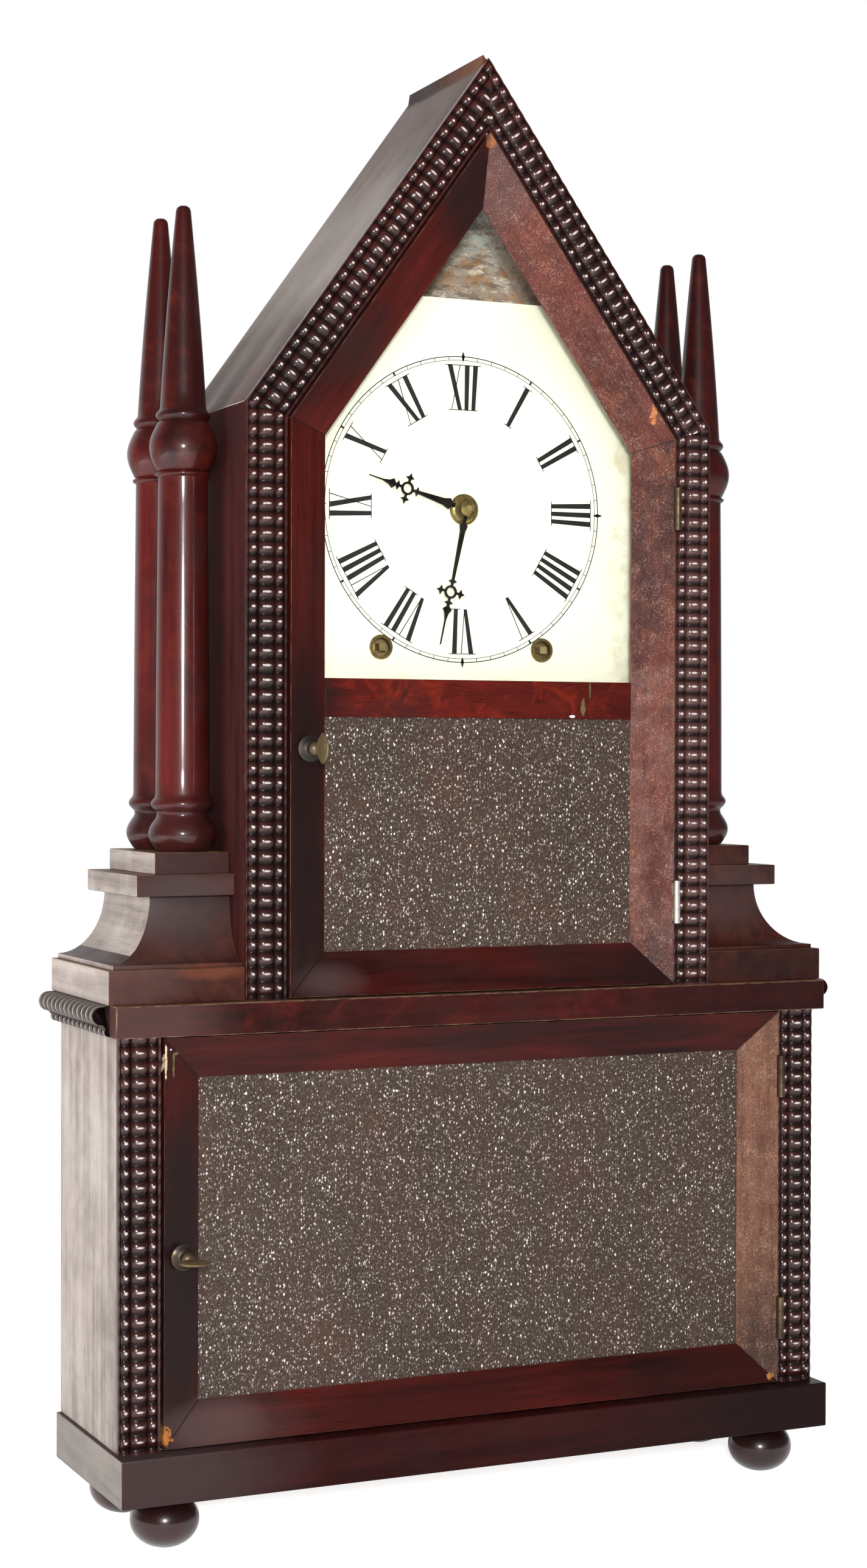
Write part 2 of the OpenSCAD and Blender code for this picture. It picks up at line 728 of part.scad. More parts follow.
module lower_door_leaves() color([0.8, 0.7, 0.45])
    for (z = lower_hinge_zs) moving_leaf(lower_door_half, z);

// ---------- doors ----------

upper_knob_x = upper_member_w / 2 - upper_door_half;
lower_knob_x = lower_member_w / 2 - lower_door_half;
lower_door_z0 = z_lower + door_gap;
lower_door_z1 = z_cornice - door_gap;
upper_door_z0 = z_deck + door_gap;
z_mid_rail = upper_door_z0 + mid_rail_z;

// Section of a door member: bevelled towards the glass, with a rabbet behind
module member_section(width) {
    polygon([[0, door_back], [0, front], [width, sight], [width, glass_front], [width - rabbet_w, glass_front],
        [width - rabbet_w, door_back]]);
}

// Bore for a knob's spindle, through a door's stile
module spindle_bore(x, z) {
    rod_y([x, z], door_back - 1, front + 1, spindle_r + run_fit);
}

mitre_over = 4;                                // how far the mitre cuts run past a member's edges
mitre_key = 0.4;                               // how far one member runs into the next behind a mitre

// Outline that mitres a rail at both ends; up is 1 for a foot rail, -1 for a head rail
function rail_cut(half, w, z, up) = let(m = mitre_over, k = mitre_key) [[-half - m, z - up * m],
    [half + m, z - up * m], [half - 2, z + up * 2], [half - 2 + k, z + up * (2 + k)],
    [half - w - m + k, z + up * (w + m + k)], [w - half + m - k, z + up * (w + m + k)],
    [2 - half - k, z + up * (2 + k)], [2 - half, z + up * 2]];

// Foot rail of a door, mitred at both ends
module foot_rail(half, w, z0) {
    intersection() {
        bar([0, z0], -90, reach) member_section(w);
        slice(0, reach) polygon(rail_cut(half, w, z0, 1));
    }
}

module lower_door_frame() color([0.3, 0.06, 0.05]) {
    half = lower_door_half;
    w = lower_member_w;
    z0 = lower_door_z0;
    z1 = lower_door_z1;
    middle = (z0 + z1) / 2;
    m = mitre_over;
    difference() {
        both_sides() intersection() {
            bar([-half, middle], 0, reach) member_section(w);
            slice(0, reach) polygon([[-half - m, z0 - m], [-half - m, z1 + m], [w - half + m, z1 - w - m],
                [w - half + m, z0 + w + m]]);
        }
        spindle_bore(lower_knob_x, z_lower + lower_knob_z);
        door_recesses(half, lower_hinge_zs);
    }
    foot_rail(half, w, z0);
    intersection() {
        bar([0, z1], 90, reach) member_section(w);
        slice(0, reach) polygon(rail_cut(half, w, z1, -1));
    }
}

module upper_door_frame() color([0.32, 0.06, 0.05]) {
    half = upper_door_half;
    w = upper_member_w;
    z0 = upper_door_z0;
    o0 = door_off;
    o1 = door_off + w;
    lift = [-half_at(o0), shoulder_at(o0)];
    m = mitre_over;
    difference() {
        both_sides() intersection() {
            bar([-half, z_centre], 0, 2 * reach) member_section(w);
            slice(0, reach) polygon([[-half - m, z0 - m], [-half_at(o0 - m), shoulder_at(o0 - m)],
                [-half_at(o1 + m), shoulder_at(o1 + m)], [w - half + m, z0 + w + m]]);
        }
        spindle_bore(upper_knob_x, z_deck + upper_knob_z);
        door_recesses(half, upper_hinge_zs);
    }
    both_sides() intersection() {
        bar(lift, 90 - gable_angle, 2 * reach) member_section(w);
        slice(0, reach) polygon(gable_outline(o0 - m, o1 + m));
    }
    foot_rail(half, w, z0);
}

glass_clear = 0.3;
glass_off = door_off + upper_member_w - rabbet_w + glass_clear;
web = 4;                                       // rib of the mid rail between the panes

module upper_mid_rail() color([0.28, 0.05, 0.05]) {
    half = upper_door_half - upper_member_w;
    deep = upper_door_half - upper_member_w + rabbet_w;
    middle = z_mid_rail + mid_rail_h / 2;
    block(-half, half, glass_front, sight + 0.6, z_mid_rail, z_mid_rail + mid_rail_h);
    block(-deep, deep, door_back, glass_front, middle - web / 2, middle + web / 2);
}

module dial_glass() color([0.85, 0.9, 0.9, 0.3])
    slice(glass_front - glass_t, glass_front)
        polygon(house_outline(glass_off, z_mid_rail + mid_rail_h / 2 + web / 2 + glass_clear));

module upper_tablet() color([0.3, 0.27, 0.25]) {
    half = upper_door_half - upper_member_w + rabbet_w - glass_clear;
    block(-half, half, glass_front - glass_t, glass_front,
        upper_door_z0 + upper_member_w - rabbet_w + glass_clear,
        z_mid_rail + mid_rail_h / 2 - web / 2 - glass_clear);
}

module lower_tablet() color([0.3, 0.27, 0.25]) {
    half = lower_door_half - lower_member_w + rabbet_w - glass_clear;
    edge = lower_member_w - rabbet_w + glass_clear;
    block(-half, half, glass_front - glass_t, glass_front, lower_door_z0 + edge, lower_door_z1 - edge);
}

// Turn latch: rosette, spindle, round thumb piece, and a tongue behind the door.
// face is the depth that the rosette starts at; the tongue hangs down at rest.
module turn_latch(p, face, upright) {
    tip = front + knob_reach;
    collar = face + 4.6;
    tongue_front = door_back - 0.5;
    rod_y(p, tongue_front - 1.6, collar + 4, spindle_r);
    turned_y(p) polygon([[spindle_r - 0.1, face], [rosette_r, face], [rosette_r, face + 0.7],
        [rosette_r * 0.7, face + 1.4], [spindle_r - 0.1, face + 1.7]]);
    turned_y(p) polygon([[0, collar], [2.6, collar], [3, collar + 1.4], [2.6, collar + 2.8], [0, collar + 2.8]]);
    translate([p[0], 0, p[1]]) rotate([0, upright ? 0 : 90, 0]) {
        translate([-thumb_t / 2, y_back - tip + thumb_r, 0]) rotate([0, 90, 0]) cylinder(h = thumb_t, r = thumb_r);
        translate([-thumb_t / 2, y_back - tip + thumb_r, -2.2]) cube([thumb_t, tip - thumb_r - collar - 1, 4.4]);
    }
    tongue_w = 6;
    block(p[0] - tongue_w / 2, p[0] + tongue_w / 2, tongue_front - 1.6, tongue_front - 0.1,
        p[1] - tongue_l, p[1] + tongue_w / 2);
}

function rosette_face(width) = (front + sight) / 2 + rosette_r * bevel_fall / width + 0.15;

module upper_knob() color([0.62, 0.5, 0.25])
    turn_latch([upper_knob_x, z_deck + upper_knob_z], rosette_face(upper_member_w), true);

module lower_knob() color([0.62, 0.5, 0.25])
    turn_latch([lower_knob_x, z_lower + lower_knob_z], rosette_face(lower_member_w), false);

// ---------- dial and hands ----------

module dial_plate() color([0.94, 0.93, 0.82]) {
    clip_z = ridge_at(side_t + 1.5) - tan(gable_angle) * dial_half_w;
    top = z_centre + dial_up;
    clip_x = (ridge_at(side_t + 1.5) - top) / tan(gable_angle);
    difference() {
        slice(dial_depth - dial_t, dial_depth) polygon([[-dial_half_w, z_centre - dial_down],
            [dial_half_w, z_centre - dial_down], [dial_half_w, min(clip_z, top)], [clip_x, top], [-clip_x, top],
            [-dial_half_w, min(clip_z, top)]]);
        rod_y(centre_p, 0, reach, dial_hole_r);
        for (p = [great_p, great_s]) rod_y(p, 0, reach, grommet_r - 0.8);
    }
}

grommet_r = 5.8;

module winding_grommets() color([0.7, 0.58, 0.28])
    for (p = [great_p, great_s]) turned_y(p) polygon([[grommet_r - 1.5, dial_depth - dial_t],
        [grommet_r - 0.8, dial_depth - dial_t], [grommet_r - 0.8, dial_depth], [grommet_r, dial_depth],
        [grommet_r - 0.2, dial_depth + 0.8], [grommet_r - 1.5, dial_depth + 0.9]]);

module dial_posts() color([0.5, 0.34, 0.22])
    both_sides() block(dial_half_w - 8, upper_half - side_t, dial_depth - dial_t - 10, dial_depth - dial_t,
        z_centre - dial_down, min(z_centre + 40, z_shoulder - 5));

// Outline of a hand that points up: leafed root, pierced ring with three crosslets, lozenge and point
module hand_outline(hub_r, root, ring, lozenge, tip, wide) {
    ring_r = 3.1;
    module crosslet(a) translate([0, ring]) rotate(a) {
        translate([-0.55, ring_r - 0.5]) square([1.1, 2]);
        translate([0, ring_r + 2]) polygon([for (i = [0 : 7])
            polar(i % 2 == 0 ? (i == 6 ? 1.6 : 2.2) : 1, i * 45)]);
    }
    circle(r = hub_r);
    polygon([[-wide * 0.45, 0], [-wide * 0.4, root - 2.4], [-wide, root - 1.2], [-wide * 0.62, root + 2],
        [-0.55, ring - ring_r + 0.3], [0.55, ring - ring_r + 0.3], [wide * 0.62, root + 2], [wide, root - 1.2],
        [wide * 0.4, root - 2.4], [wide * 0.45, 0]]);
    difference() {
        translate([0, ring]) circle(r = ring_r);
        translate([0, ring]) circle(r = ring_r - 1);
    }
    for (a = [0, 90, 180, 270]) crosslet(a);
    polygon([[-0.5, ring + ring_r], [-0.6, lozenge - 2.6], [-2.3, lozenge - 1.2], [-1, lozenge + 0.8],
        [-0.35, lozenge + 4], [-0.2, tip], [0.2, tip], [0.35, lozenge + 4], [1, lozenge + 0.8],
        [2.3, lozenge - 1.2], [0.6, lozenge - 2.6], [0.5, ring + ring_r]]);
}

minute_turn = shown_minute * 6;
hour_turn = shown_hour * 30 + shown_minute / 2;

// Hour wheel, its pipe through the dial, a brass collet and the hand
module hour_hand() color([0.12, 0.1, 0.11]) {
    difference() {
        union() {
            slice(hour_wheel_d, hour_wheel_d + 1.2) translate(centre_p)
                gear_outline(40, hour_module, mesh_turn(hour_meet, motion_dir + 180, 10, 40));
            rod_y(centre_p, hour_wheel_d, hour_hand_d + hand_t + 0.4, pipe_r + 0.9);
            turned_y(centre_p) polygon([[0, hour_hand_d - 0.9], [7.2, hour_hand_d - 0.9],
                [6.6, hour_hand_d - 0.3], [4, hour_hand_d], [0, hour_hand_d]]);
            slice(hour_hand_d, hour_hand_d + hand_t) translate(centre_p) rotate(-hour_turn)
                hand_outline(4.6, 9.6, 30.7, 39.6, hour_l, 2.6);
        }
        rod_y(centre_p, 0, reach, pipe_r);
    }
}

module minute_hand() color([0.12, 0.1, 0.11]) difference() {
    union() {
        slice(minute_hand_d, minute_hand_d + hand_t) translate(centre_p) rotate(-minute_turn)
            hand_outline(3.5, 9.2, 39.8, 49.2, minute_l, 2);
        rod_y(centre_p, minute_hand_d, minute_hand_d + hand_t, 3.6);
    }
    rod_y(centre_p, 0, reach, arbor_r);
}

module hand_nut() color([0.72, 0.6, 0.3]) {
    d0 = minute_hand_d + hand_t;
    turned_y(centre_p) polygon([[arbor_r, d0], [3.6, d0], [3.4, d0 + 0.8], [2.4, d0 + 1.5], [arbor_r, d0 + 1.7]]);
}

// ---------- movement ----------

// Turn of gear b that puts it in mesh with gear a, turned by turn_a, with b in direction dir from a
function mesh_turn(turn_a, dir, teeth_a, teeth_b) =
    dir + 180 + 180 / teeth_b - (turn_a - dir) * teeth_a / teeth_b;

// Gear of flat-sided teeth, one tooth pointing along turn
module gear_outline(teeth, size, turn) {
    pitch_r = size * teeth / 2;
    step = 360 / teeth;
    tip = pitch_r + size * 0.75;
    root = pitch_r - size * 1.0;
    polygon([for (i = [0 : teeth - 1], q = [[-0.27, root], [-0.12, tip], [0.12, tip], [0.27, root]])
        polar(q[1], turn + (i + q[0]) * step)]);
}

// Crossed wheel: toothed rim, four arms and a hub
module wheel_outline(teeth, size, turn) {
    rim = size * (teeth / 2 - 1) - 2.2;
    hub = arbor_r + 2.6;
    difference() {
        gear_outline(teeth, size, turn);
        if (rim > hub + 4) difference() {
            circle(r = rim);
            circle(r = hub);
            for (a = [0, 90]) rotate(a + 45) square([2 * rim + 2, 2.6], center = true);
        }
    }
}

// Arbor between the plates with a pivot at each end
module arbor(p) {
    rod_y(p, plate_back + plate_t + 0.15, front_plate_d - 0.15, arbor_r);
    rod_y(p, plate_back, plate_front, pivot_r);
}

// Turns that keep the trains in mesh while the minute hand is at rest
cannon_turn = 90 - minute_turn;
minute_wheel_turn = mesh_turn(cannon_turn, motion_dir, 12, 36);
hour_meet = minute_wheel_turn;
centre_turn = 0;
second_turn = mesh_turn(centre_turn, second_dir, centre_leaves, second_teeth);
great_turn = mesh_turn(second_turn, great_dir, second_leaves, great_teeth);
third_turn = mesh_turn(centre_turn, third_dir, centre_teeth, fine_leaves);
escape_turn = mesh_turn(third_turn, escape_dir, third_teeth, fine_leaves);
strike_dir = 180 - great_dir;
pin_turn = mesh_turn(0, strike_dir + 180, great_teeth, second_leaves);
warning_turn = mesh_turn(pin_turn, warning_dir, pin_teeth, fine_leaves);
fly_turn = mesh_turn(warning_turn, fly_dir, warning_teeth, fine_leaves);

module plate_outline() {
    difference() {
        union() {
            translate([-pillar_x - 5, pillar_low - 5]) square([2 * pillar_x + 10, pillar_high - pillar_low + 10]);
            translate([-12, pillar_high]) square([24, suspend_p[1] + 6 - pillar_high]);
        }
        for (s = [-1, 1]) {
            translate([s * (pillar_x - 9), z_centre + 14]) circle(r = 12);
            translate([s * 22, pillar_low + 12]) circle(r = 9);
            translate([s * (pillar_x - 4), z_centre - 14]) circle(r = 5);
        }
    }
}

module pivot_holes(extra) {
    for (p = [second_p, third_p, escape_p, pin_p, warning_p, fly_p, hammer_p])
        rod_y(p, 0, reach, pivot_r + extra);
}

module back_plate() color([0.78, 0.62, 0.3]) {
    difference() {
        slice(plate_back, plate_back + plate_t) plate_outline();
        pivot_holes(run_fit);
        rod_y(centre_p, 0, reach, pivot_r + run_fit);
        rod_y(verge_p, 0, reach, pivot_r + run_fit);
        for (p = [great_p, great_s]) rod_y(p, 0, reach, pivot_r + run_fit);
    }
    for (s = [-1, 1]) block(s < 0 ? -4 : 0.45, s < 0 ? -0.45 : 4, rod_d - 4, plate_back, suspend_p[1],
        suspend_p[1] + 6);
}

module front_plate() color([0.78, 0.62, 0.3]) difference() {
    slice(front_plate_d, plate_front) plate_outline();
    pivot_holes(run_fit);
    rod_y(centre_p, 0, reach, arbor_r + run_fit);
    rod_y(verge_p, 0, reach, pivot_r + run_fit);
    for (p = [great_p, great_s]) rod_y(p, 0, reach, great_arbor_r + run_fit);
}

module movement_pillars() color([0.72, 0.57, 0.28]) {
    for (x = [-pillar_x, pillar_x], z = [pillar_low, pillar_high]) {
        rod_y([x, z], plate_back + plate_t, front_plate_d, pillar_r);
        rod_y([x, z], back_t, plate_back, pillar_r + 1.5);
        rod_y([x, z], plate_front, plate_front + 2, pillar_r - 0.4);
    }
    rod_y(motion_p, plate_front, dial_depth - dial_t - 0.4, arbor_r);
}

// Great wheel with its winding arbor, ratchet collar and corded drum
module great_wheel(p, turn) {
    rod_y(p, plate_back, plate_back + plate_t + 0.3, pivot_r);
    rod_y(p, plate_back + plate_t + 0.15, plate_front + 3, great_arbor_r);
    slice(plate_front + 2.9, dial_depth + 2) translate(p - [winding_square, winding_square] / 2)
        square(winding_square);
    slice(great_d, great_d + wheel_t) translate(p) wheel_outline(great_teeth, great_module, turn);
    turned_y(p) polygon([[0, great_d + wheel_t - 0.1], [drum_r + 3, great_d + wheel_t - 0.1],
        [drum_r + 3, drum_d0], [wound_r, drum_d0], [wound_r, drum_d1], [drum_r + 3, drum_d1],
        [drum_r + 3, drum_d1 + 1], [0, drum_d1 + 1]]);
}

module great_wheel_time() color([0.76, 0.6, 0.3]) great_wheel(great_p, great_turn);

module great_wheel_strike() color([0.76, 0.6, 0.3]) {
    great_wheel(great_s, 0);
}

module second_wheel() color([0.76, 0.6, 0.3]) {
    arbor(second_p);
    slice(great_d - 1.2, great_d + wheel_t + 1) translate(second_p)
        gear_outline(second_leaves, great_module, mesh_turn(great_turn, great_dir + 180, great_teeth, second_leaves));
    slice(second_d - wheel_t / 2, second_d + wheel_t / 2) translate(second_p)
        wheel_outline(second_teeth, great_module, second_turn);
}

// Centre arbor: pinion, centre wheel, and the cannon pinion that carries the minute hand
module centre_arbor() color([0.74, 0.6, 0.32]) {
    rod_y(centre_p, plate_back, plate_back + plate_t + 0.2, pivot_r);
    rod_y(centre_p, plate_back + plate_t + 0.15, minute_hand_d + hand_t + 2.4, arbor_r);
    slice(second_d - 2.4, second_d + 2.4) translate(centre_p)
        gear_outline(centre_leaves, great_module, centre_turn);
    slice(centre_d, centre_d + wheel_t) translate(centre_p)
        wheel_outline(centre_teeth, fine_module, centre_turn);
    slice(cannon_d, cannon_d + 2) translate(centre_p) gear_outline(12, motion_module, cannon_turn);
    rod_y(centre_p, cannon_d, minute_hand_d, cannon_r);
}

module third_wheel() color([0.76, 0.6, 0.3]) {
    arbor(third_p);
    slice(centre_d - 1, centre_d + wheel_t + 1) translate(third_p)
        gear_outline(fine_leaves, fine_module, third_turn);
    slice(third_d, third_d + wheel_t) translate(third_p)
        wheel_outline(third_teeth, fine_module, third_turn);
}

module escape_wheel() color([0.8, 0.66, 0.34]) {
    root = escape_r - 2;
    step = 360 / escape_teeth;
    arbor(escape_p);
    slice(third_d - 1, third_d + wheel_t + 1) translate(escape_p)
        gear_outline(fine_leaves, fine_module, escape_turn);
    slice(escape_d, escape_d + 1.2) translate(escape_p) difference() {
        polygon([for (i = [0 : escape_teeth - 1], q = [[0, root], [0.2, escape_r], [0.3, escape_r]])
            polar(q[1], (i + q[0]) * step)]);
        difference() {
            circle(r = root - 1.8);
            circle(r = arbor_r + 2);
            for (a = [0, 90]) rotate(a) square([2 * root, 2], center = true);
        }
    }
}

// Anchor over the escape wheel, and the crutch that forks the pendulum rod
module verge() color([0.45, 0.45, 0.47]) {
    arm_z = 10 - (verge_p[1] - escape_p[1]);
    fork = 1.7;
    rod_y(verge_p, rod_d + 1.6, plate_back + plate_t + 0.3, pivot_r);
    rod_y(verge_p, plate_back + plate_t + 0.15, front_plate_d - 0.15, arbor_r);
    rod_y(verge_p, front_plate_d - 0.2, plate_front, pivot_r);
    slice(escape_d, escape_d + 1.4) translate(verge_p) {
        circle(r = 3);
        for (s = [-1, 1]) polygon([[0, 2.6], [s * 11.6, -2], [s * 12.4, arm_z + 0.6], [s * 10.4, arm_z],
            [s * 9.4, -4.2], [0, -1.6]]);
    }
    slice(rod_d + 1.6, rod_d + 2.8) translate([-0.9, fork_z - 2]) square([1.8, verge_p[1] - fork_z + 3.2]);
    slice(rod_d + 1.6, rod_d + 2.8) translate([-fork - 0.8, fork_z - 2]) square([2 * fork + 1.6, 1.6]);
    for (s = [-1, 1]) rod_y([s * fork, fork_z - 1.2], rod_d - 2.5, rod_d + 2.2, 0.7);
}

module minute_wheel() color([0.76, 0.6, 0.3]) difference() {
    union() {
        slice(cannon_d + 0.2, cannon_d + 1.6) translate(motion_p)
            gear_outline(36, motion_module, minute_wheel_turn);
        slice(cannon_d + 1.5, hour_wheel_d + 1.8) translate(motion_p)
            gear_outline(10, hour_module, hour_meet);
    }
    rod_y(motion_p, 0, reach, arbor_r + run_fit);
}

module pin_wheel() color([0.76, 0.6, 0.3]) {
    arbor(pin_p);
    slice(great_d - 1.2, great_d + wheel_t + 1) translate(pin_p)
        gear_outline(second_leaves, great_module, pin_turn);
    slice(pin_d, pin_d + wheel_t) translate(pin_p) wheel_outline(pin_teeth, fine_module, pin_turn);
    for (a = [0 : 45 : 315]) rod_y(pin_p + polar(pin_circle, a), pin_d + wheel_t - 0.1, pin_d + wheel_t + 2.6, 0.6);
}

module warning_wheel() color([0.76, 0.6, 0.3]) {
    arbor(warning_p);
    slice(pin_d - 1, pin_d + wheel_t + 1) translate(warning_p)
        gear_outline(fine_leaves, fine_module, warning_turn);
    slice(warning_d, warning_d + wheel_t) translate(warning_p)
        wheel_outline(warning_teeth, fine_module, warning_turn);
}

module fly() color([0.76, 0.6, 0.3]) {
    arbor(fly_p);
    slice(warning_d - 1, warning_d + wheel_t + 1) translate(fly_p)
        gear_outline(fine_leaves, fine_module, fly_turn);
    slice(warning_d + 5, warning_d + 15) translate(fly_p) square([22, 0.8], center = true);
}

// Flat strap from point a to point b
module strap(a, b, d0, d1, w) {
    turn = atan2(b[1] - a[1], b[0] - a[0]);
    slice(d0, d1) translate(a) rotate(turn) translate([0, -w / 2]) square([norm(b - a), w]);
}

// Hammer arbor with its tail by the pin wheel, and a rod down to the head
module hammer() color([0.5, 0.42, 0.3]) {
    tail_end = pin_p + polar(pin_circle + 2.6, atan2(hammer_p[1] - pin_p[1], hammer_p[0] - pin_p[0]));
    arbor(hammer_p);
    strap(hammer_p, tail_end, pin_d + wheel_t + 0.6, pin_d + wheel_t + 2, 1.8);
    strap(hammer_p, head_p, hammer_d - 0.7, hammer_d + 0.7, 1.6);
    rod_y(head_p, hammer_d - 4.5, hammer_d + 4.5, head_r);
}

// Cup bell, mouth forwards, on a post from the back board
module bell() color([0.75, 0.66, 0.42]) {
    deep = 22;
    wall = 1.6;
    arc = 9;
    turned_y(bell_p) polygon(concat(
        [for (i = [0 : arc]) [bell_r * sin(90 * i / arc), bell_mouth - deep * cos(90 * i / arc)]],
        [for (i = [arc : -1 : 0])
            [(bell_r - wall) * sin(90 * i / arc), bell_mouth - (deep - wall) * cos(90 * i / arc)]]));
    rod_y(bell_p, back_t, bell_mouth - deep + 0.3, 3);
}

// Pendulum: spring strip, rod, lens-shaped bob and rating nut
module pendulum() color([0.72, 0.58, 0.3]) {
    bob_z = suspend_p[1] - pendulum_l;
    arc = 8;
    cap_half = bob_t / 2;
    block(-0.15, 0.15, rod_d - 2.5, rod_d + 2.5, suspend_p[1] - 12, suspend_p[1] + 3);
    translate([0, y_back - rod_d, bob_z - bob_r - 8]) cylinder(h = pendulum_l + bob_r - 3, r = 0.8);
    turned_y([0, bob_z]) translate([0, rod_d]) polygon(concat(
        [for (i = [0 : arc]) [bob_r * sin(90 * i / arc), -cap_half * cos(90 * i / arc)]],
        [for (i = [arc - 1 : -1 : 0]) [bob_r * sin(90 * i / arc), cap_half * cos(90 * i / arc)]]));
    translate([0, y_back - rod_d, bob_z - bob_r - 4.4]) cylinder(h = 3.4, r = 3);
}

// ---------- wagon spring ----------

// Leaf i of the stack: an arc about a point high above the saddle
module spring_leaf(i) {
    r0 = spring_bend_r + i * spring_pitch;
    half = spring_half * (1 - i / (leaf_count + 1.5));
    centre_z = spring_top + spring_bend_r;
    difference() {
        slice(spring_d0, spring_d0 + spring_w) difference() {
            intersection() {
                translate([0, centre_z]) circle(r = r0 + spring_leaf_t, $fn = 360);
                translate([-half, spring_top - 80]) square([2 * half, 200]);
            }
            translate([0, centre_z]) circle(r = r0, $fn = 360);
        }
        if (i == 0) for (x = [-leaf_end_x, leaf_end_x])
            translate([x, y_back - cord_d, 0]) cylinder(h = reach, r = 1.7);
    }
}

module wagon_spring() color([0.4, 0.42, 0.45])
    for (i = [0 : leaf_count - 1]) spring_leaf(i);

// Saddle on the bottom board, and the plate and bolts that clamp the stack to it
module spring_clamp() color([0.3, 0.3, 0.32]) {
    d0 = spring_d0 - 7;
    d1 = spring_d0 + spring_w + 7;
    z1 = spring_top + 0.4;
    difference() {
        block(-16, 16, d0, d1, z_lower, z_lower + saddle_h);
        for (d = [d0 + 3.5, d1 - 3.5]) translate([0, y_back - d, z_lower - 1]) cylinder(h = saddle_h + 2, r = 2);
    }
    difference() {
        block(-12, 12, d0, d1, z1, z1 + 3);
        for (d = [d0 + 3.5, d1 - 3.5]) translate([0, y_back - d, z1 - 1]) cylinder(h = 5, r = 2);
    }
    for (d = [d0 + 3.5, d1 - 3.5]) {
        translate([0, y_back - d, z_lower]) cylinder(h = z1 + 3 - z_lower, r = 2);
        translate([0, y_back - d, z1 + 3]) cylinder(h = 2.4, r = 3.4, $fn = 6);
    }
}

// Levers from side brackets to the cords, each linked to an end of the spring
module lift_levers() color([0.34, 0.34, 0.36]) {
    wall_x = lower_half - side_t;
    leaf_z = spring_top + spring_bend_r - sqrt(pow(spring_bend_r, 2) - pow(leaf_end_x, 2));
    both_sides() {
        difference() {
            union() {
                slice(cord_d - 2.5, cord_d + 2.5) polygon([[cord_x - 3, lever_p[1] - 3], [cord_x - 3, lever_p[1] + 3],
                    [lever_x - 20, lever_p[1] + 5], [lever_x + 3, lever_p[1] + 5], [lever_x + 3, lever_p[1] - 5],
                    [lever_x - 20, lever_p[1] - 5]]);
            }
            rod_y(lever_p, 0, reach, 2);
            translate([leaf_end_x, y_back - cord_d, 0]) cylinder(h = reach, r = 1.7);
        }
        difference() {
            union() {
                block(wall_x - 2, wall_x, cord_d - 9, cord_d + 9, lever_p[1] - 14, lever_p[1] + 14);
                for (d = [cord_d - 6, cord_d + 3]) block(lever_x - 5, wall_x - 2, d, d + 3, lever_p[1] - 6,
                    lever_p[1] + 6);
            }
            rod_y(lever_p, 0, reach, 2);
        }
        rod_y(lever_p, cord_d - 7, cord_d + 7, 2);
        translate([leaf_end_x, y_back - cord_d, leaf_z - spring_leaf_t - 4])
            cylinder(h = lever_p[1] + 8 - leaf_z + spring_leaf_t + 4, r = 1.6);
        translate([leaf_end_x, y_back - cord_d, leaf_z - spring_leaf_t - 3.6]) cylinder(h = 2.4, r = 3.4, $fn = 6);
        translate([leaf_end_x, y_back - cord_d, lever_p[1] + 5]) cylinder(h = 2.4, r = 3.4, $fn = 6);
    }
}

module drive_cords() color([0.5, 0.42, 0.3]) {
    clear = sqrt(pow(wound_r, 2) - pow(drum_r, 2)) + 0.3;
    for (x = [-cord_x, cord_x]) translate([x, y_back - cord_d, lever_p[1] + 3])
        cylinder(h = great_p[1] - clear - lever_p[1] - 3, r = cord_r);
}

base_frame();
bun_feet();
bottom_board();
lower_sides();
lower_back_board();
lower_face_frame();
lower_ripples();
cornice_board();
cornice_ripples();
plinth_slabs();
plinth_coves();
plinth_caps();
plinth_steps();
columns_left();
columns_right();
upper_sides();
roof_boards();
upper_back_board();
upper_face_frame();
upper_ripples();
gable_ripples();
case_hinge_leaves();
upper_door_frame();
upper_mid_rail();
dial_glass();
upper_tablet();
upper_door_leaves();
upper_knob();
lower_door_frame();
lower_tablet();
lower_door_leaves();
lower_knob();
dial_plate();
winding_grommets();
dial_posts();
hour_hand();
minute_hand();
hand_nut();
front_plate();
back_plate();
movement_pillars();
great_wheel_time();
second_wheel();
centre_arbor();
third_wheel();
escape_wheel();
verge();
minute_wheel();
great_wheel_strike();
pin_wheel();
warning_wheel();
fly();
hammer();
bell();
pendulum();
wagon_spring();
spring_clamp();
lift_levers();
drive_cords();
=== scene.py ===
import json
import math

import bmesh
import bpy
from mathutils import Matrix, Vector


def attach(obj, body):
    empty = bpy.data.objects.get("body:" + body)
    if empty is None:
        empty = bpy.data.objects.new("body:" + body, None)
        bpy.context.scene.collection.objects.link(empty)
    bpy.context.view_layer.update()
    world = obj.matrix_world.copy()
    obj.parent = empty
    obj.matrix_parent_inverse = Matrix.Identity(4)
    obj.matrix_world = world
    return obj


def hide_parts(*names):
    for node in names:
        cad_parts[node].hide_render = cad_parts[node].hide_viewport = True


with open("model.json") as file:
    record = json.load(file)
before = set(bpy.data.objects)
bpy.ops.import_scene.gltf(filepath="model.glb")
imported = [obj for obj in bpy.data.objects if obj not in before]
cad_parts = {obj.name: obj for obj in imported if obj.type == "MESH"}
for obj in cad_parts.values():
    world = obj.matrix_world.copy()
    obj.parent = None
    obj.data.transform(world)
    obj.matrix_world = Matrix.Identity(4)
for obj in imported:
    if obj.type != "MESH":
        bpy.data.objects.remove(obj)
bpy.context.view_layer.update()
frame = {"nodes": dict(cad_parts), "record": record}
print("frame loaded:", len(frame["nodes"]), "nodes")

mm = 0.001
scene = bpy.context.scene
bodies = frame["record"]["behaviour"]["bodies"]
bodyOfNode = {node: body for body, members in bodies.items() for node in members}


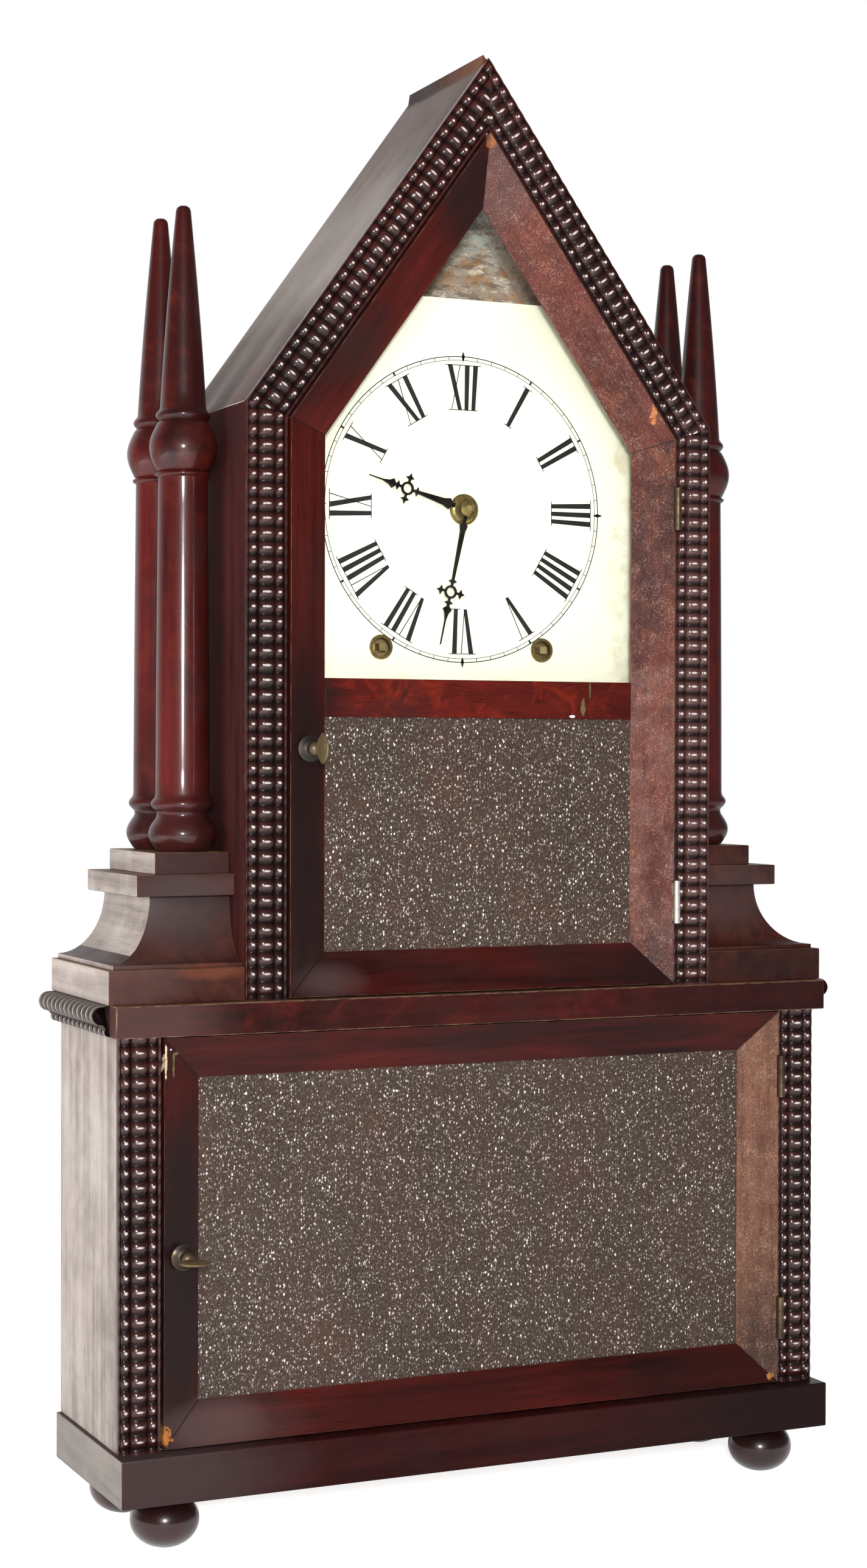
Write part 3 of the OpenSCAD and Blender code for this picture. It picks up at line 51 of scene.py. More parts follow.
# Sizes of the case that several pieces share, in mm; depth is counted forwards from the back
case = {"back": 54, "boards": 83, "upperHalf": 118, "lowerHalf": 176.5, "deck": 238.5, "shoulder": 503.5,
        "ridge": 667, "lowerFoot": 43.5, "lowerTop": 224.5, "rippleWidth": 19.5}
case["slope"] = math.atan((case["ridge"] - case["shoulder"]) / case["upperHalf"])


def at(x, depth, z):
    return Vector((x, case["back"] - depth, z)) * mm


# The camera stands to the left and looks almost level: place in mm, angles in degrees
view = {"place": (-530.2, -1125.3, 346.7), "turn": 24.71, "down": 0.6, "roll": 0.16, "lens": 60.7,
        "sensor": 36}


def addCamera():
    turn, down, roll = (math.radians(view[key]) for key in ("turn", "down", "roll"))
    ahead = Vector((math.sin(turn) * math.cos(down), math.cos(turn) * math.cos(down), -math.sin(down)))
    right = Vector((math.cos(turn), -math.sin(turn), 0))
    up = right.cross(ahead)
    tiltedRight = right * math.cos(roll) + up * math.sin(roll)
    tiltedUp = up * math.cos(roll) - right * math.sin(roll)
    data = bpy.data.cameras.new("photoCamera")
    data.lens = view["lens"]
    data.sensor_width = view["sensor"]
    camera = bpy.data.objects.new("photoCamera", data)
    axes = Matrix((tiltedRight, tiltedUp, -ahead)).transposed().to_4x4()
    camera.matrix_world = Matrix.Translation(Vector(view["place"]) * mm) @ axes
    scene.collection.objects.link(camera)
    scene.camera = camera


addCamera()
scene.view_settings.view_transform = "Standard"


class Socket:
    # one output of a node, with the plain operators as Math nodes
    def __init__(self, tree, link):
        self.tree = tree
        self.link = link

    def math(self, operation, other=None, swapped=False):
        node = self.tree.nodes.new("ShaderNodeMath")
        node.operation = operation
        pair = [self] if other is None else [other, self] if swapped else [self, other]
        for slot, item in zip(node.inputs, pair):
            if isinstance(item, Socket):
                self.tree.links.new(item.link, slot)
            else:
                slot.default_value = item
        return Socket(self.tree, node.outputs[0])

    def __add__(self, other):
        return self.math("ADD", other)

    def __sub__(self, other):
        return self.math("SUBTRACT", other)

    def __rsub__(self, other):
        return self.math("SUBTRACT", other, True)

    def __mul__(self, other):
        return self.math("MULTIPLY", other)

    def __truediv__(self, other):
        return self.math("DIVIDE", other)

    def __pow__(self, other):
        return self.math("POWER", other)

    def __abs__(self):
        return self.math("ABSOLUTE")

    __radd__ = __add__
    __rmul__ = __mul__

    def atMost(self, other):
        return self.math("MINIMUM", other)

    def atLeast(self, other):
        return self.math("MAXIMUM", other)

    def clamped(self):
        return self.atLeast(0).atMost(1)


class Finish:
    # a material and the nodes that make it
    def __init__(self, name):
        self.material = bpy.data.materials.new(name)
        self.material.use_nodes = True
        self.tree = self.material.node_tree
        self.tree.nodes.clear()

    def add(self, kind, settings, sockets, output=0):
        node = self.tree.nodes.new(kind)
        for key, value in settings.items():
            setattr(node, key, value)
        for key, value in sockets.items():
            if isinstance(value, Socket):
                self.tree.links.new(value.link, node.inputs[key])
            else:
                slot = node.inputs[key]
                isColor = slot.type == "RGBA" and len(value) == 3
                slot.default_value = (*value, 1) if isColor else value
        return Socket(self.tree, node.outputs[output]) if node.outputs else None

    def place(self):
        return self.add("ShaderNodeTexCoord", {}, {}, "Object")

    def attribute(self, name):
        return self.add("ShaderNodeAttribute", {"attribute_name": name}, {}, "Vector")

    def stretched(self, vector, scale):
        return self.add("ShaderNodeMapping", {}, {"Vector": vector, "Scale": scale})

    def noise(self, vector, scale=1, detail=4, rough=0.5, bend=0):
        return self.add("ShaderNodeTexNoise", {}, {"Vector": vector, "Scale": scale, "Detail": detail,
                                                   "Roughness": rough, "Distortion": bend})

    def cells(self, vector, scale, output="Color"):
        return self.add("ShaderNodeTexVoronoi", {}, {"Vector": vector, "Scale": scale}, output)

    def mix(self, factor, first, second):
        return self.add("ShaderNodeMix", {"data_type": "RGBA"}, {0: factor, 6: first, 7: second}, 2)

    def split(self, vector):
        node = self.tree.nodes.new("ShaderNodeSeparateXYZ")
        self.tree.links.new(vector.link, node.inputs[0])
        return [Socket(self.tree, node.outputs[i]) for i in range(3)]

    def inCase(self, place):
        # across, forwards from the back and up, in mm
        x, y, z = self.split(place)
        return x / mm, case["back"] - y / mm, z / mm

    def bump(self, height, strength, distance):
        return self.add("ShaderNodeBump", {}, {"Height": height, "Strength": strength, "Distance": distance})

    def close(self, color, rough, normal=None, metal=0, coat=0, coatRough=0.08, specular=0.5):
        sockets = {"Base Color": color, "Roughness": rough, "Metallic": metal, "Coat Weight": coat,
                   "Coat Roughness": coatRough, "Specular IOR Level": specular}
        if normal is not None:
            sockets["Normal"] = normal
        shader = self.add("ShaderNodeBsdfPrincipled", {}, sockets)
        self.add("ShaderNodeOutputMaterial", {}, {"Surface": shader})
        return self.material


def rangeMask(value, low, high):
    # 0 at low, 1 at high
    return ((value - low) / (high - low)).clamped()


def seamLine(finish, place, seam):
    # a thin joint line on the front of the doors, the same left and right; seam is x, z, x, z in mm
    x, depth, z = finish.inCase(place)
    across, rise = seam[2] - seam[0], seam[3] - seam[1]
    length = math.hypot(across, rise)
    fromX, fromZ = abs(x) - seam[0], z - seam[1]
    along = (fromX * across + fromZ * rise) / length
    off = abs((fromX * rise - fromZ * across) / length)
    line = (1 - rangeMask(off, 0.12, 0.42)) * rangeMask(along, -0.4, 0.2)
    return line * rangeMask(length - along, -0.4, 0.2)


def spread(finish, place, patch):
    # how far off the middle of a patch, squared; a patch starts x, z, half width, half height, in mm
    x, depth, z = finish.inCase(place)
    across, up = (x - patch[0]) / patch[2], (z - patch[1]) / patch[3]
    return across * across + up * up


def broadPatch(finish, place, patch, wobble):
    # soft patch that fades out at its rim, as strong as the patch's fifth value
    reach = spread(finish, place, patch) ** 0.5 + (wobble - 0.5) * 0.9
    return (1 - rangeMask(reach, 0.45, 1.15)) * patch[4]


def softSpot(finish, place, patch, wobble):
    # small uneven patch with a crisp rim
    return 1 - rangeMask(spread(finish, place, patch) + (wobble - 0.5) * 4.5, 0.7, 1.1)


# Section and run of the ripple mouldings, in mm
ripple = {"pitch": 6.5, "dip": 1.5, "rowsPerRipple": 8, "base": 1.9, "beads": (3.2, 15.7), "beadRadius": 2.35,
          "rollMiddle": 9.45, "rollHalf": 4, "rollTop": 5, "rollShape": 2.6, "lip": 2.9, "lipEdge": 0.5,
          "lipEnds": (0.8, 18.1), "lipDip": 0.25, "lowest": 0.6, "foot": 0.05, "crestShape": 0.75}

# What a look of the varnish may leave out
varnish = {"figure": 9, "pores": 0.55, "grime": 0.5, "grimeColor": (0.018, 0.01, 0.009), "haze": 0,
           "hazeColor": (0.12, 0.085, 0.07), "darkShare": 0.6, "fade": 25, "coatRough": 0.12, "crackle": 0.2,
           "bump": 0.25, "chips": (), "seams": (), "patches": ()}

# Noises in the varnish: scale per metre, detail, roughness, distortion
mottles = {"smoke": (22, 4, 0.55), "dustAndSheen": (60, 6, 0.7), "rubbing": (130, 4, 0.65), "flame": (70, 5, 0.65, 1),
           "ridge": (90, 4, 0.6), "glint": (1150, 2, 0.8), "glintClusters": (170, 2, 0.6),
           "chipRims": (320, 4, 0.6), "crackle": (240, 3, 0.5), "craze": (1300, 2, 0.6)}


class Varnish(Finish):
    # old varnished wood, laid up layer by layer; its grain is an attribute of each piece
    def __init__(self, name, look):
        super().__init__(name)
        self.look = look
        self.grain = self.attribute("grain")
        self.spot = self.place()
        self.x, self.depth, self.z = self.inCase(self.spot)
        self.figure = self.noise(self.stretched(self.grain, (look["figure"], 120, 120)), 1, 5, 0.6, 0.5)
        self.pores = self.noise(self.stretched(self.grain, (70, 1500, 1500)), 1, 2, 0.5)
        self.smoke = self.mottle("smoke")

    def mottle(self, kind):
        return self.noise(self.spot, *mottles[kind])

    def lay(self, mask, color):
        self.color = self.mix(mask, self.color, color)

    def layGrain(self):
        broad = self.noise(self.stretched(self.grain, (5, 26, 26)), 1, 3, 0.5, 0.8)
        tone = rangeMask(broad * 0.55 + self.figure * 0.45, 0.36, 0.66)
        self.color = self.mix(tone, self.look["deep"], self.look["lit"])
        self.lay(rangeMask(self.pores, 0.56, 0.7) * self.look["pores"], self.look["pore"])

    def layGrimeShadeAndSheen(self):
        look = self.look
        grime = rangeMask(self.smoke, 0.5, 0.74) * look["grime"]
        self.lay(grime, look["grimeColor"])
        # darker above a height; on the feet this is painted shade under the base, with grime
        if "darkAbove" in look:
            above = rangeMask(self.z, look["darkAbove"], look["darkAbove"] + look["fade"])
            self.lay(above * look["darkShare"], look["deep"])
        # pale haze: dust, and on the left-lit and lit door copies a painted sheen
        dustAndSheen = rangeMask(self.mottle("dustAndSheen") * 0.6 + self.figure * 0.4, 0.42, 0.66)
        if "hazeBelow" in look:
            dustAndSheen = dustAndSheen * (0.25 + 0.75 * rangeMask(look["hazeBelow"] - self.z, 0, 25))
        self.lay(dustAndSheen * look["haze"], look["hazeColor"])
        self.rough = look["rough"] + (self.smoke - 0.5) * 0.25 + dustAndSheen * look["haze"] * 0.3
        self.coat = look["coat"] * (1 - grime * 0.7)

    def layWear(self):
        look = self.look
        if "frontDark" in look:
            forward = rangeMask(self.depth + (self.smoke - 0.5) * 12, 60, 84)
            self.lay(forward * look["frontDark"], look["pore"])
        if "wear" in look:
            self.lay(rangeMask(self.mottle("rubbing"), 0.42, 0.56) * 0.75, look["wear"])
        if "glow" in look:
            self.lay(rangeMask(self.mottle("flame"), 0.5, 0.68) * look["glowShare"], look["glow"])
        for patch in look["patches"]:
            self.lay(broadPatch(self, self.spot, patch, self.smoke), tones[patch[5]])

    def layBareRidge(self):
        # no varnish left along the ridge, and the wood under it rusty towards the front
        worn = self.z + (self.mottle("ridge") - 0.5) * 5
        ridge = rangeMask(worn, self.look["bareRidge"], self.look["bareRidge"] + 2)
        wood = self.mix(rangeMask(self.depth, 20, 75), (0.012, 0.006, 0.005), (0.1, 0.03, 0.009))
        self.lay(ridge, self.mix(self.figure * 0.5, wood, (0.02, 0.009, 0.006)))

    def layRippleShadeAndHighlights(self):
        # painted shade in the grooves, along with grime, and painted highlights as pale spots on the crests,
        # a little weaker towards the left
        look = self.look
        run, side, hollow = self.split(self.attribute("strip"))
        hollow = rangeMask(hollow, 0.12, 0.6)
        self.lay(hollow * look["groove"], (0.006, 0.0035, 0.0035))
        off = (abs((run / ripple["pitch"]).math("FRACT") - 0.5) * ripple["pitch"]) ** 2
        fromLeft = 0.8 + rangeMask(self.x, -100, 60) * 0.2
        for middle, half, high, share in look["paintedHighlight"]:
            reach = (((side - middle) / half) ** 2 + off / high ** 2) ** 0.5 + (self.figure - 0.5) * 0.8
            self.lay((1 - rangeMask(reach, 0.45, 1)) * share * fromLeft, look["highlightColor"])
        self.coat = self.coat * (1 - hollow * 0.9)

    def laySparkle(self):
        # pale specks painted as glints of light in the crazed varnish, with dark specks between them
        glint = self.mottle("glint") * 0.7 + self.mottle("glintClusters") * 0.3
        self.lay(rangeMask(glint, 0.53, 0.66) * 0.24, self.look["sparkle"])
        self.lay(rangeMask(glint, 0.47, 0.36) * 0.4, self.look["pore"])

    def layChips(self):
        # chips down to pale wood, in the front faces only
        wobble = self.mottle("chipRims")
        front = rangeMask(self.depth, 79, 81)
        for spot in self.look["chips"]:
            chip = softSpot(self, self.spot, spot, wobble) * front
            wood = tones[spot[4]]
            self.lay(chip, self.mix(wobble, wood, tuple(tone * 0.3 for tone in wood)))
            self.rough = self.rough + chip * 0.3
            self.coat = self.coat * (1 - chip)

    def closeVarnish(self):
        crackle = self.mottle("crackle") + self.mottle("craze")
        height = self.figure * 0.5 + self.pores * -0.25 + crackle * self.look["crackle"]
        normal = self.bump(height, self.look["bump"], 0.0006)
        return self.close(self.color, self.rough, normal, coat=self.coat, coatRough=self.look["coatRough"],
                          specular=self.look["specular"])


def mahogany(name, look):
    wood = Varnish(name, look)
    wood.layGrain()
    wood.layGrimeShadeAndSheen()
    wood.layWear()
    if "bareRidge" in look:
        wood.layBareRidge()
    for seam in look["seams"]:
        wood.lay(seamLine(wood, wood.spot, seam) * 0.85, (0.007, 0.004, 0.0035))
    if "groove" in look:
        wood.layRippleShadeAndHighlights()
    if "sparkle" in look:
        wood.laySparkle()
    wood.layChips()
    return wood.closeVarnish()


def metal(name, look):
    look = {"size": 90, "from": 0.42, "to": 0.7, "patina": 0.35, **look}
    finish = Finish(name)
    place = finish.place()
    fine = finish.noise(place, 900, 3)
    tarnish = rangeMask(finish.noise(place, look["size"], 5, 0.6), look["from"], look["to"])
    color = finish.mix(tarnish, look["bright"], look["dull"])
    # shine: a bright spot painted at one place, a painted highlight
    if "shine" in look:
        paintedHighlight = softSpot(finish, place, look["shine"], finish.noise(place, 300))
        color = finish.mix(paintedHighlight, color, look["shineColor"])
        tarnish = tarnish * (1 - paintedHighlight)
    # past a depth the brass is painted bright: polish from handling and a painted highlight
    if "polishAndHighlightFrom" in look:
        handledAndLit = rangeMask(finish.inCase(place)[1], look["polishAndHighlightFrom"], look["polishAndHighlightFrom"] + 4)
        color = finish.mix(handledAndLit * (1 - tarnish * 0.7), color, look["polishAndHighlight"])
    rough = look["rough"] + tarnish * 0.25 + (fine - 0.5) * 0.15
    return finish.close(color, rough, finish.bump(fine, 0.08, 0.0002), 1 - tarnish * look["patina"])


def speckledTablet(name, look):
    # dark painted glass covered in metallic specks, each a little taller than wide
    finish = Finish(name)
    x, y, z = finish.split(finish.place())
    flat = finish.add("ShaderNodeCombineXYZ", {}, {"X": x, "Y": z * look["tall"]})
    color = finish.mix(finish.noise(flat, 9, 4, 0.6), look["dark"], look["pale"])
    grit = finish.noise(flat, 1100, 3, 0.75)
    color = finish.mix(rangeMask(grit, 0.46, 0.64) * 0.7, color, look["grit"])
    color = finish.mix(rangeMask(finish.noise(flat, 30, 4, 0.6), 0.46, 0.66) * 0.16, color, look["warm"])
    spark = None
    for size, share, strength in look["specks"]:
        pick = finish.split(finish.cells(flat, size))
        gap = finish.cells(flat, size, "Distance")
        dot = 1 - rangeMask(gap + (grit - 0.5) * 0.35, 0.14, 0.32)
        dot = dot * rangeMask(pick[0], 1 - share, 1 - share * 0.5) * (0.35 + pick[2] * 0.65) * strength
        color = finish.mix(dot, color, finish.mix(pick[1], look["speck"], look["speckWarm"]))
        spark = spark.atLeast(dot) if spark else dot
    normal = finish.bump(grit * 0.5 + spark, 0.3, 0.0003)
    return finish.close(color, 0.5 - spark * 0.15, normal, coat=0.05, coatRough=0.2, specular=0.15)


def creamDial(name, look):
    # painted plate, grimy towards the edges and foxed here and there
    finish = Finish(name)
    place = finish.place()
    x, depth, z = finish.inCase(place)
    color = finish.mix(rangeMask(finish.noise(place, 16, 5, 0.6), 0.35, 0.75), look["cream"], look["aged"])
    edge = rangeMask(abs(x), 76, 81).atLeast(rangeMask(385 - z, 0, 4))
    grime = rangeMask(finish.noise(place, 90, 4, 0.6), 0.45, 0.65)
    color = finish.mix(edge * grime * 0.6, color, look["rim"])
    color = finish.mix(rangeMask(finish.noise(place, 380, 3, 0.6), 0.7, 0.76) * 0.25, color, look["foxing"])
    normal = finish.bump(finish.noise(place, 120), 0.05, 0.0004)
    return finish.close(color, 0.42, normal, coat=0.15, coatRough=0.25, specular=0.35)


def oldBoard(name, look):
    # softwood back board with the remains of paper and grime; its colours carry painted light
    finish = Finish(name)
    place = finish.place()
    lines = finish.noise(finish.stretched(place, (14, 60, 160)), 1, 5, 0.6, 0.6)
    patch = finish.noise(place, 34, 5, 0.65, 0.4)
    color = finish.mix(lines, look["wood"], look["woodDark"])
    height = rangeMask(finish.inCase(place)[2] + (patch - 0.5) * 50, 580, 598)
    color = finish.mix(height * 0.85, color, look["paper"])
    color = finish.mix(rangeMask(finish.noise(place, 70, 6, 0.75), 0.52, 0.6) * 0.85, color, look["rust"])
    flakes = finish.noise(finish.stretched(place, (90, 90, 190)), 1, 6, 0.75, 0.5)
    color = finish.mix(rangeMask(flakes, 0.53, 0.6) * 0.9, color, look["cream"])
    soot = finish.noise(finish.stretched(place, (80, 80, 260)), 1, 6, 0.8)
    color = finish.mix(rangeMask(soot, 0.5, 0.6) * 0.8, color, look["soot"])
    return finish.close(color, 0.7, finish.bump(lines + patch, 0.3, 0.0008), specular=0.3)


def plainWood(name, look):
    finish = Finish(name)
    grain = finish.attribute("grain")
    lines = finish.noise(finish.stretched(grain, (7, 150, 150)), 1, 5, 0.6, 0.8)
    rings = finish.noise(finish.stretched(grain, (3, 30, 30)), 1, 2)
    color = finish.mix(rangeMask(lines * 0.6 + rings * 0.4, 0.35, 0.68), look["deep"], look["lit"])
    dirt = rangeMask(finish.noise(finish.place(), 25, 5, 0.6), 0.5, 0.8)
    color = finish.mix(dirt * 0.6, color, look["dirt"])
    return finish.close(color, 0.72, finish.bump(lines, 0.25, 0.0006), specular=0.25)


def clearGlass(name, look):
    finish = Finish(name)
    normal = finish.bump(finish.noise(finish.place(), 14, 2), 0.02, 0.002)
    gleam = finish.add("ShaderNodeFresnel", {}, {"IOR": 1.45})
    clear = finish.add("ShaderNodeBsdfTransparent", {}, {"Color": look["tint"]})
    gloss = finish.add("ShaderNodeBsdfGlossy", {}, {"Color": (1, 1, 1), "Roughness": 0.02, "Normal": normal})
    shader = finish.add("ShaderNodeMixShader", {}, {0: gleam * look["gleam"], 1: clear, 2: gloss})
    finish.add("ShaderNodeOutputMaterial", {}, {"Surface": shader})
    return finish.material


def twistedCord(name, look):
    finish = Finish(name)
    x, y, z = finish.split(finish.place())
    # darker bands in the hollows between the strands: painted shade
    twist = (z * 4200 + x * 900).math("SINE")
    color = finish.mix(twist * 0.5 + 0.5, look["hollow"], look["strand"])
    return finish.close(color, 0.8, finish.bump(twist, 0.4, 0.0003), specular=0.2)


def blackInk(name, look):
    finish = Finish(name)
    wear = finish.noise(finish.place(), 500, 4, 0.6)
    return finish.close(finish.mix(rangeMask(wear, 0.66, 0.8) * 0.4, look["fresh"], look["worn"]), 0.5,
                        specular=0.3)


red = {**varnish, "deep": (0.011, 0.0022, 0.002), "lit": (0.062, 0.0078, 0.0055),
       "pore": (0.006, 0.002, 0.002), "rough": 0.34, "coat": 0.05, "specular": 0.1}
# paler, greyer copy of the veneer for faces turned to the left: painted light and sheen on that side
leftLitLook = {**varnish, "deep": (0.13, 0.105, 0.09), "lit": (0.31, 0.262, 0.235), "pore": (0.09, 0.07, 0.06),
          "rough": 0.5, "coat": 0, "specular": 0.25, "figure": 5, "frontDark": 0.12, "grime": 0.35,
          "grimeColor": (0.1, 0.085, 0.075), "haze": 0.5, "hazeColor": (0.44, 0.39, 0.355), "bump": 0.4,
          "pores": 0.5}
tones = {"smoke": (0.011, 0.0055, 0.0052), "pale": (0.075, 0.045, 0.042), "chalk": (0.33, 0.29, 0.265),
         "bloom": (0.52, 0.47, 0.43), "ash": (0.04, 0.028, 0.0275), "rust": (0.15, 0.042, 0.016),
         "rose": (0.1, 0.043, 0.039), "orange": (0.6, 0.21, 0.05), "amber": (0.5, 0.22, 0.05),
         "peach": (0.55, 0.2, 0.08), "cream": (0.8, 0.66, 0.42), "olive": (0.15, 0.12, 0.055),
         "white": (0.9, 0.88, 0.84), "ochre": (0.3, 0.11, 0.045)}

# A chip is x, z, half width, half height and tone; a patch has its strength before the tone; a seam runs
# from x, z to x, z. All in mm.
doorChips = [(-154.5, 49.9, 2.8, 4.4, "orange"), (153, 46.6, 2, 2.5, "amber"),
             (86.6, 507.8, 1.7, 4.2, "peach"), (0.6, 628.4, 2.6, 3.4, "ochre"),
             (-155.5, 212.6, 0.75, 7, "cream"), (-151.4, 211.8, 0.6, 4.6, "olive"),
             (-150, 216.6, 1.6, 0.7, "olive"), (-152.6, 218.6, 0.9, 0.6, "white"),
             (56.2, 377, 0.5, 3.8, "olive"), (52.6, 369.8, 1.1, 3.6, "olive"),
             # the white mark at the rail's lower edge is a chip with a painted glint on it
             (46.8, 365.5, 1.5, 0.55, "white")]
doorSeams = [(97.6, 496.9, 78.2, 490.5), (0, 632, 0, 600), (97.6, 239.4, 78.2, 258.8),
             (155.9, 44.6, 137.7, 62.8), (155.9, 223.4, 137.7, 205.2)]
# the long dark patches down the left stiles are painted shade, where those faces turn away from the lamps;
# other dark patches darken the varnish in places
doorPatches = [(-90, 318, 17, 105, 0.85, "smoke"), (-8, 608, 22, 30, 0.8, "smoke"),
               (-149, 112, 18, 100, 0.95, "smoke"), (118, 50, 70, 15, 0.6, "smoke"),
               (-20, 50, 80, 15, 0.5, "smoke"), (-125, 50, 40, 15, 0.5, "ash"),
               (60, 250, 45, 12, 0.6, "smoke"), (85, 246, 20, 14, 0.7, "smoke"),
               (-84, 246, 16, 14, 0.45, "smoke"), (-135, 214, 60, 12, 0.4, "smoke"),
               (-132, 52, 26, 12, 0.6, "pale"), (-80, 246, 20, 9, 0.4, "pale")]
door = {**red, "lit": (0.075, 0.0085, 0.006), "grime": 0.6, "chips": doorChips, "seams": doorSeams,
        "patches": doorPatches}
# the back board's colours are raised well above the wood's own, painted light so that it shows lit in the
# shade inside the case; litPaper doubles them again for the roof's underside
paper = {"wood": (0.66, 0.52, 0.43), "woodDark": (0.26, 0.18, 0.14), "paper": (0.44, 0.48, 0.46),
         "rust": (0.5, 0.24, 0.09), "cream": (0.9, 0.82, 0.72), "soot": (0.17, 0.12, 0.1)}
litPaper = {part: tuple(min(0.9, tone * 2.1) for tone in color) for part, color in paper.items()}

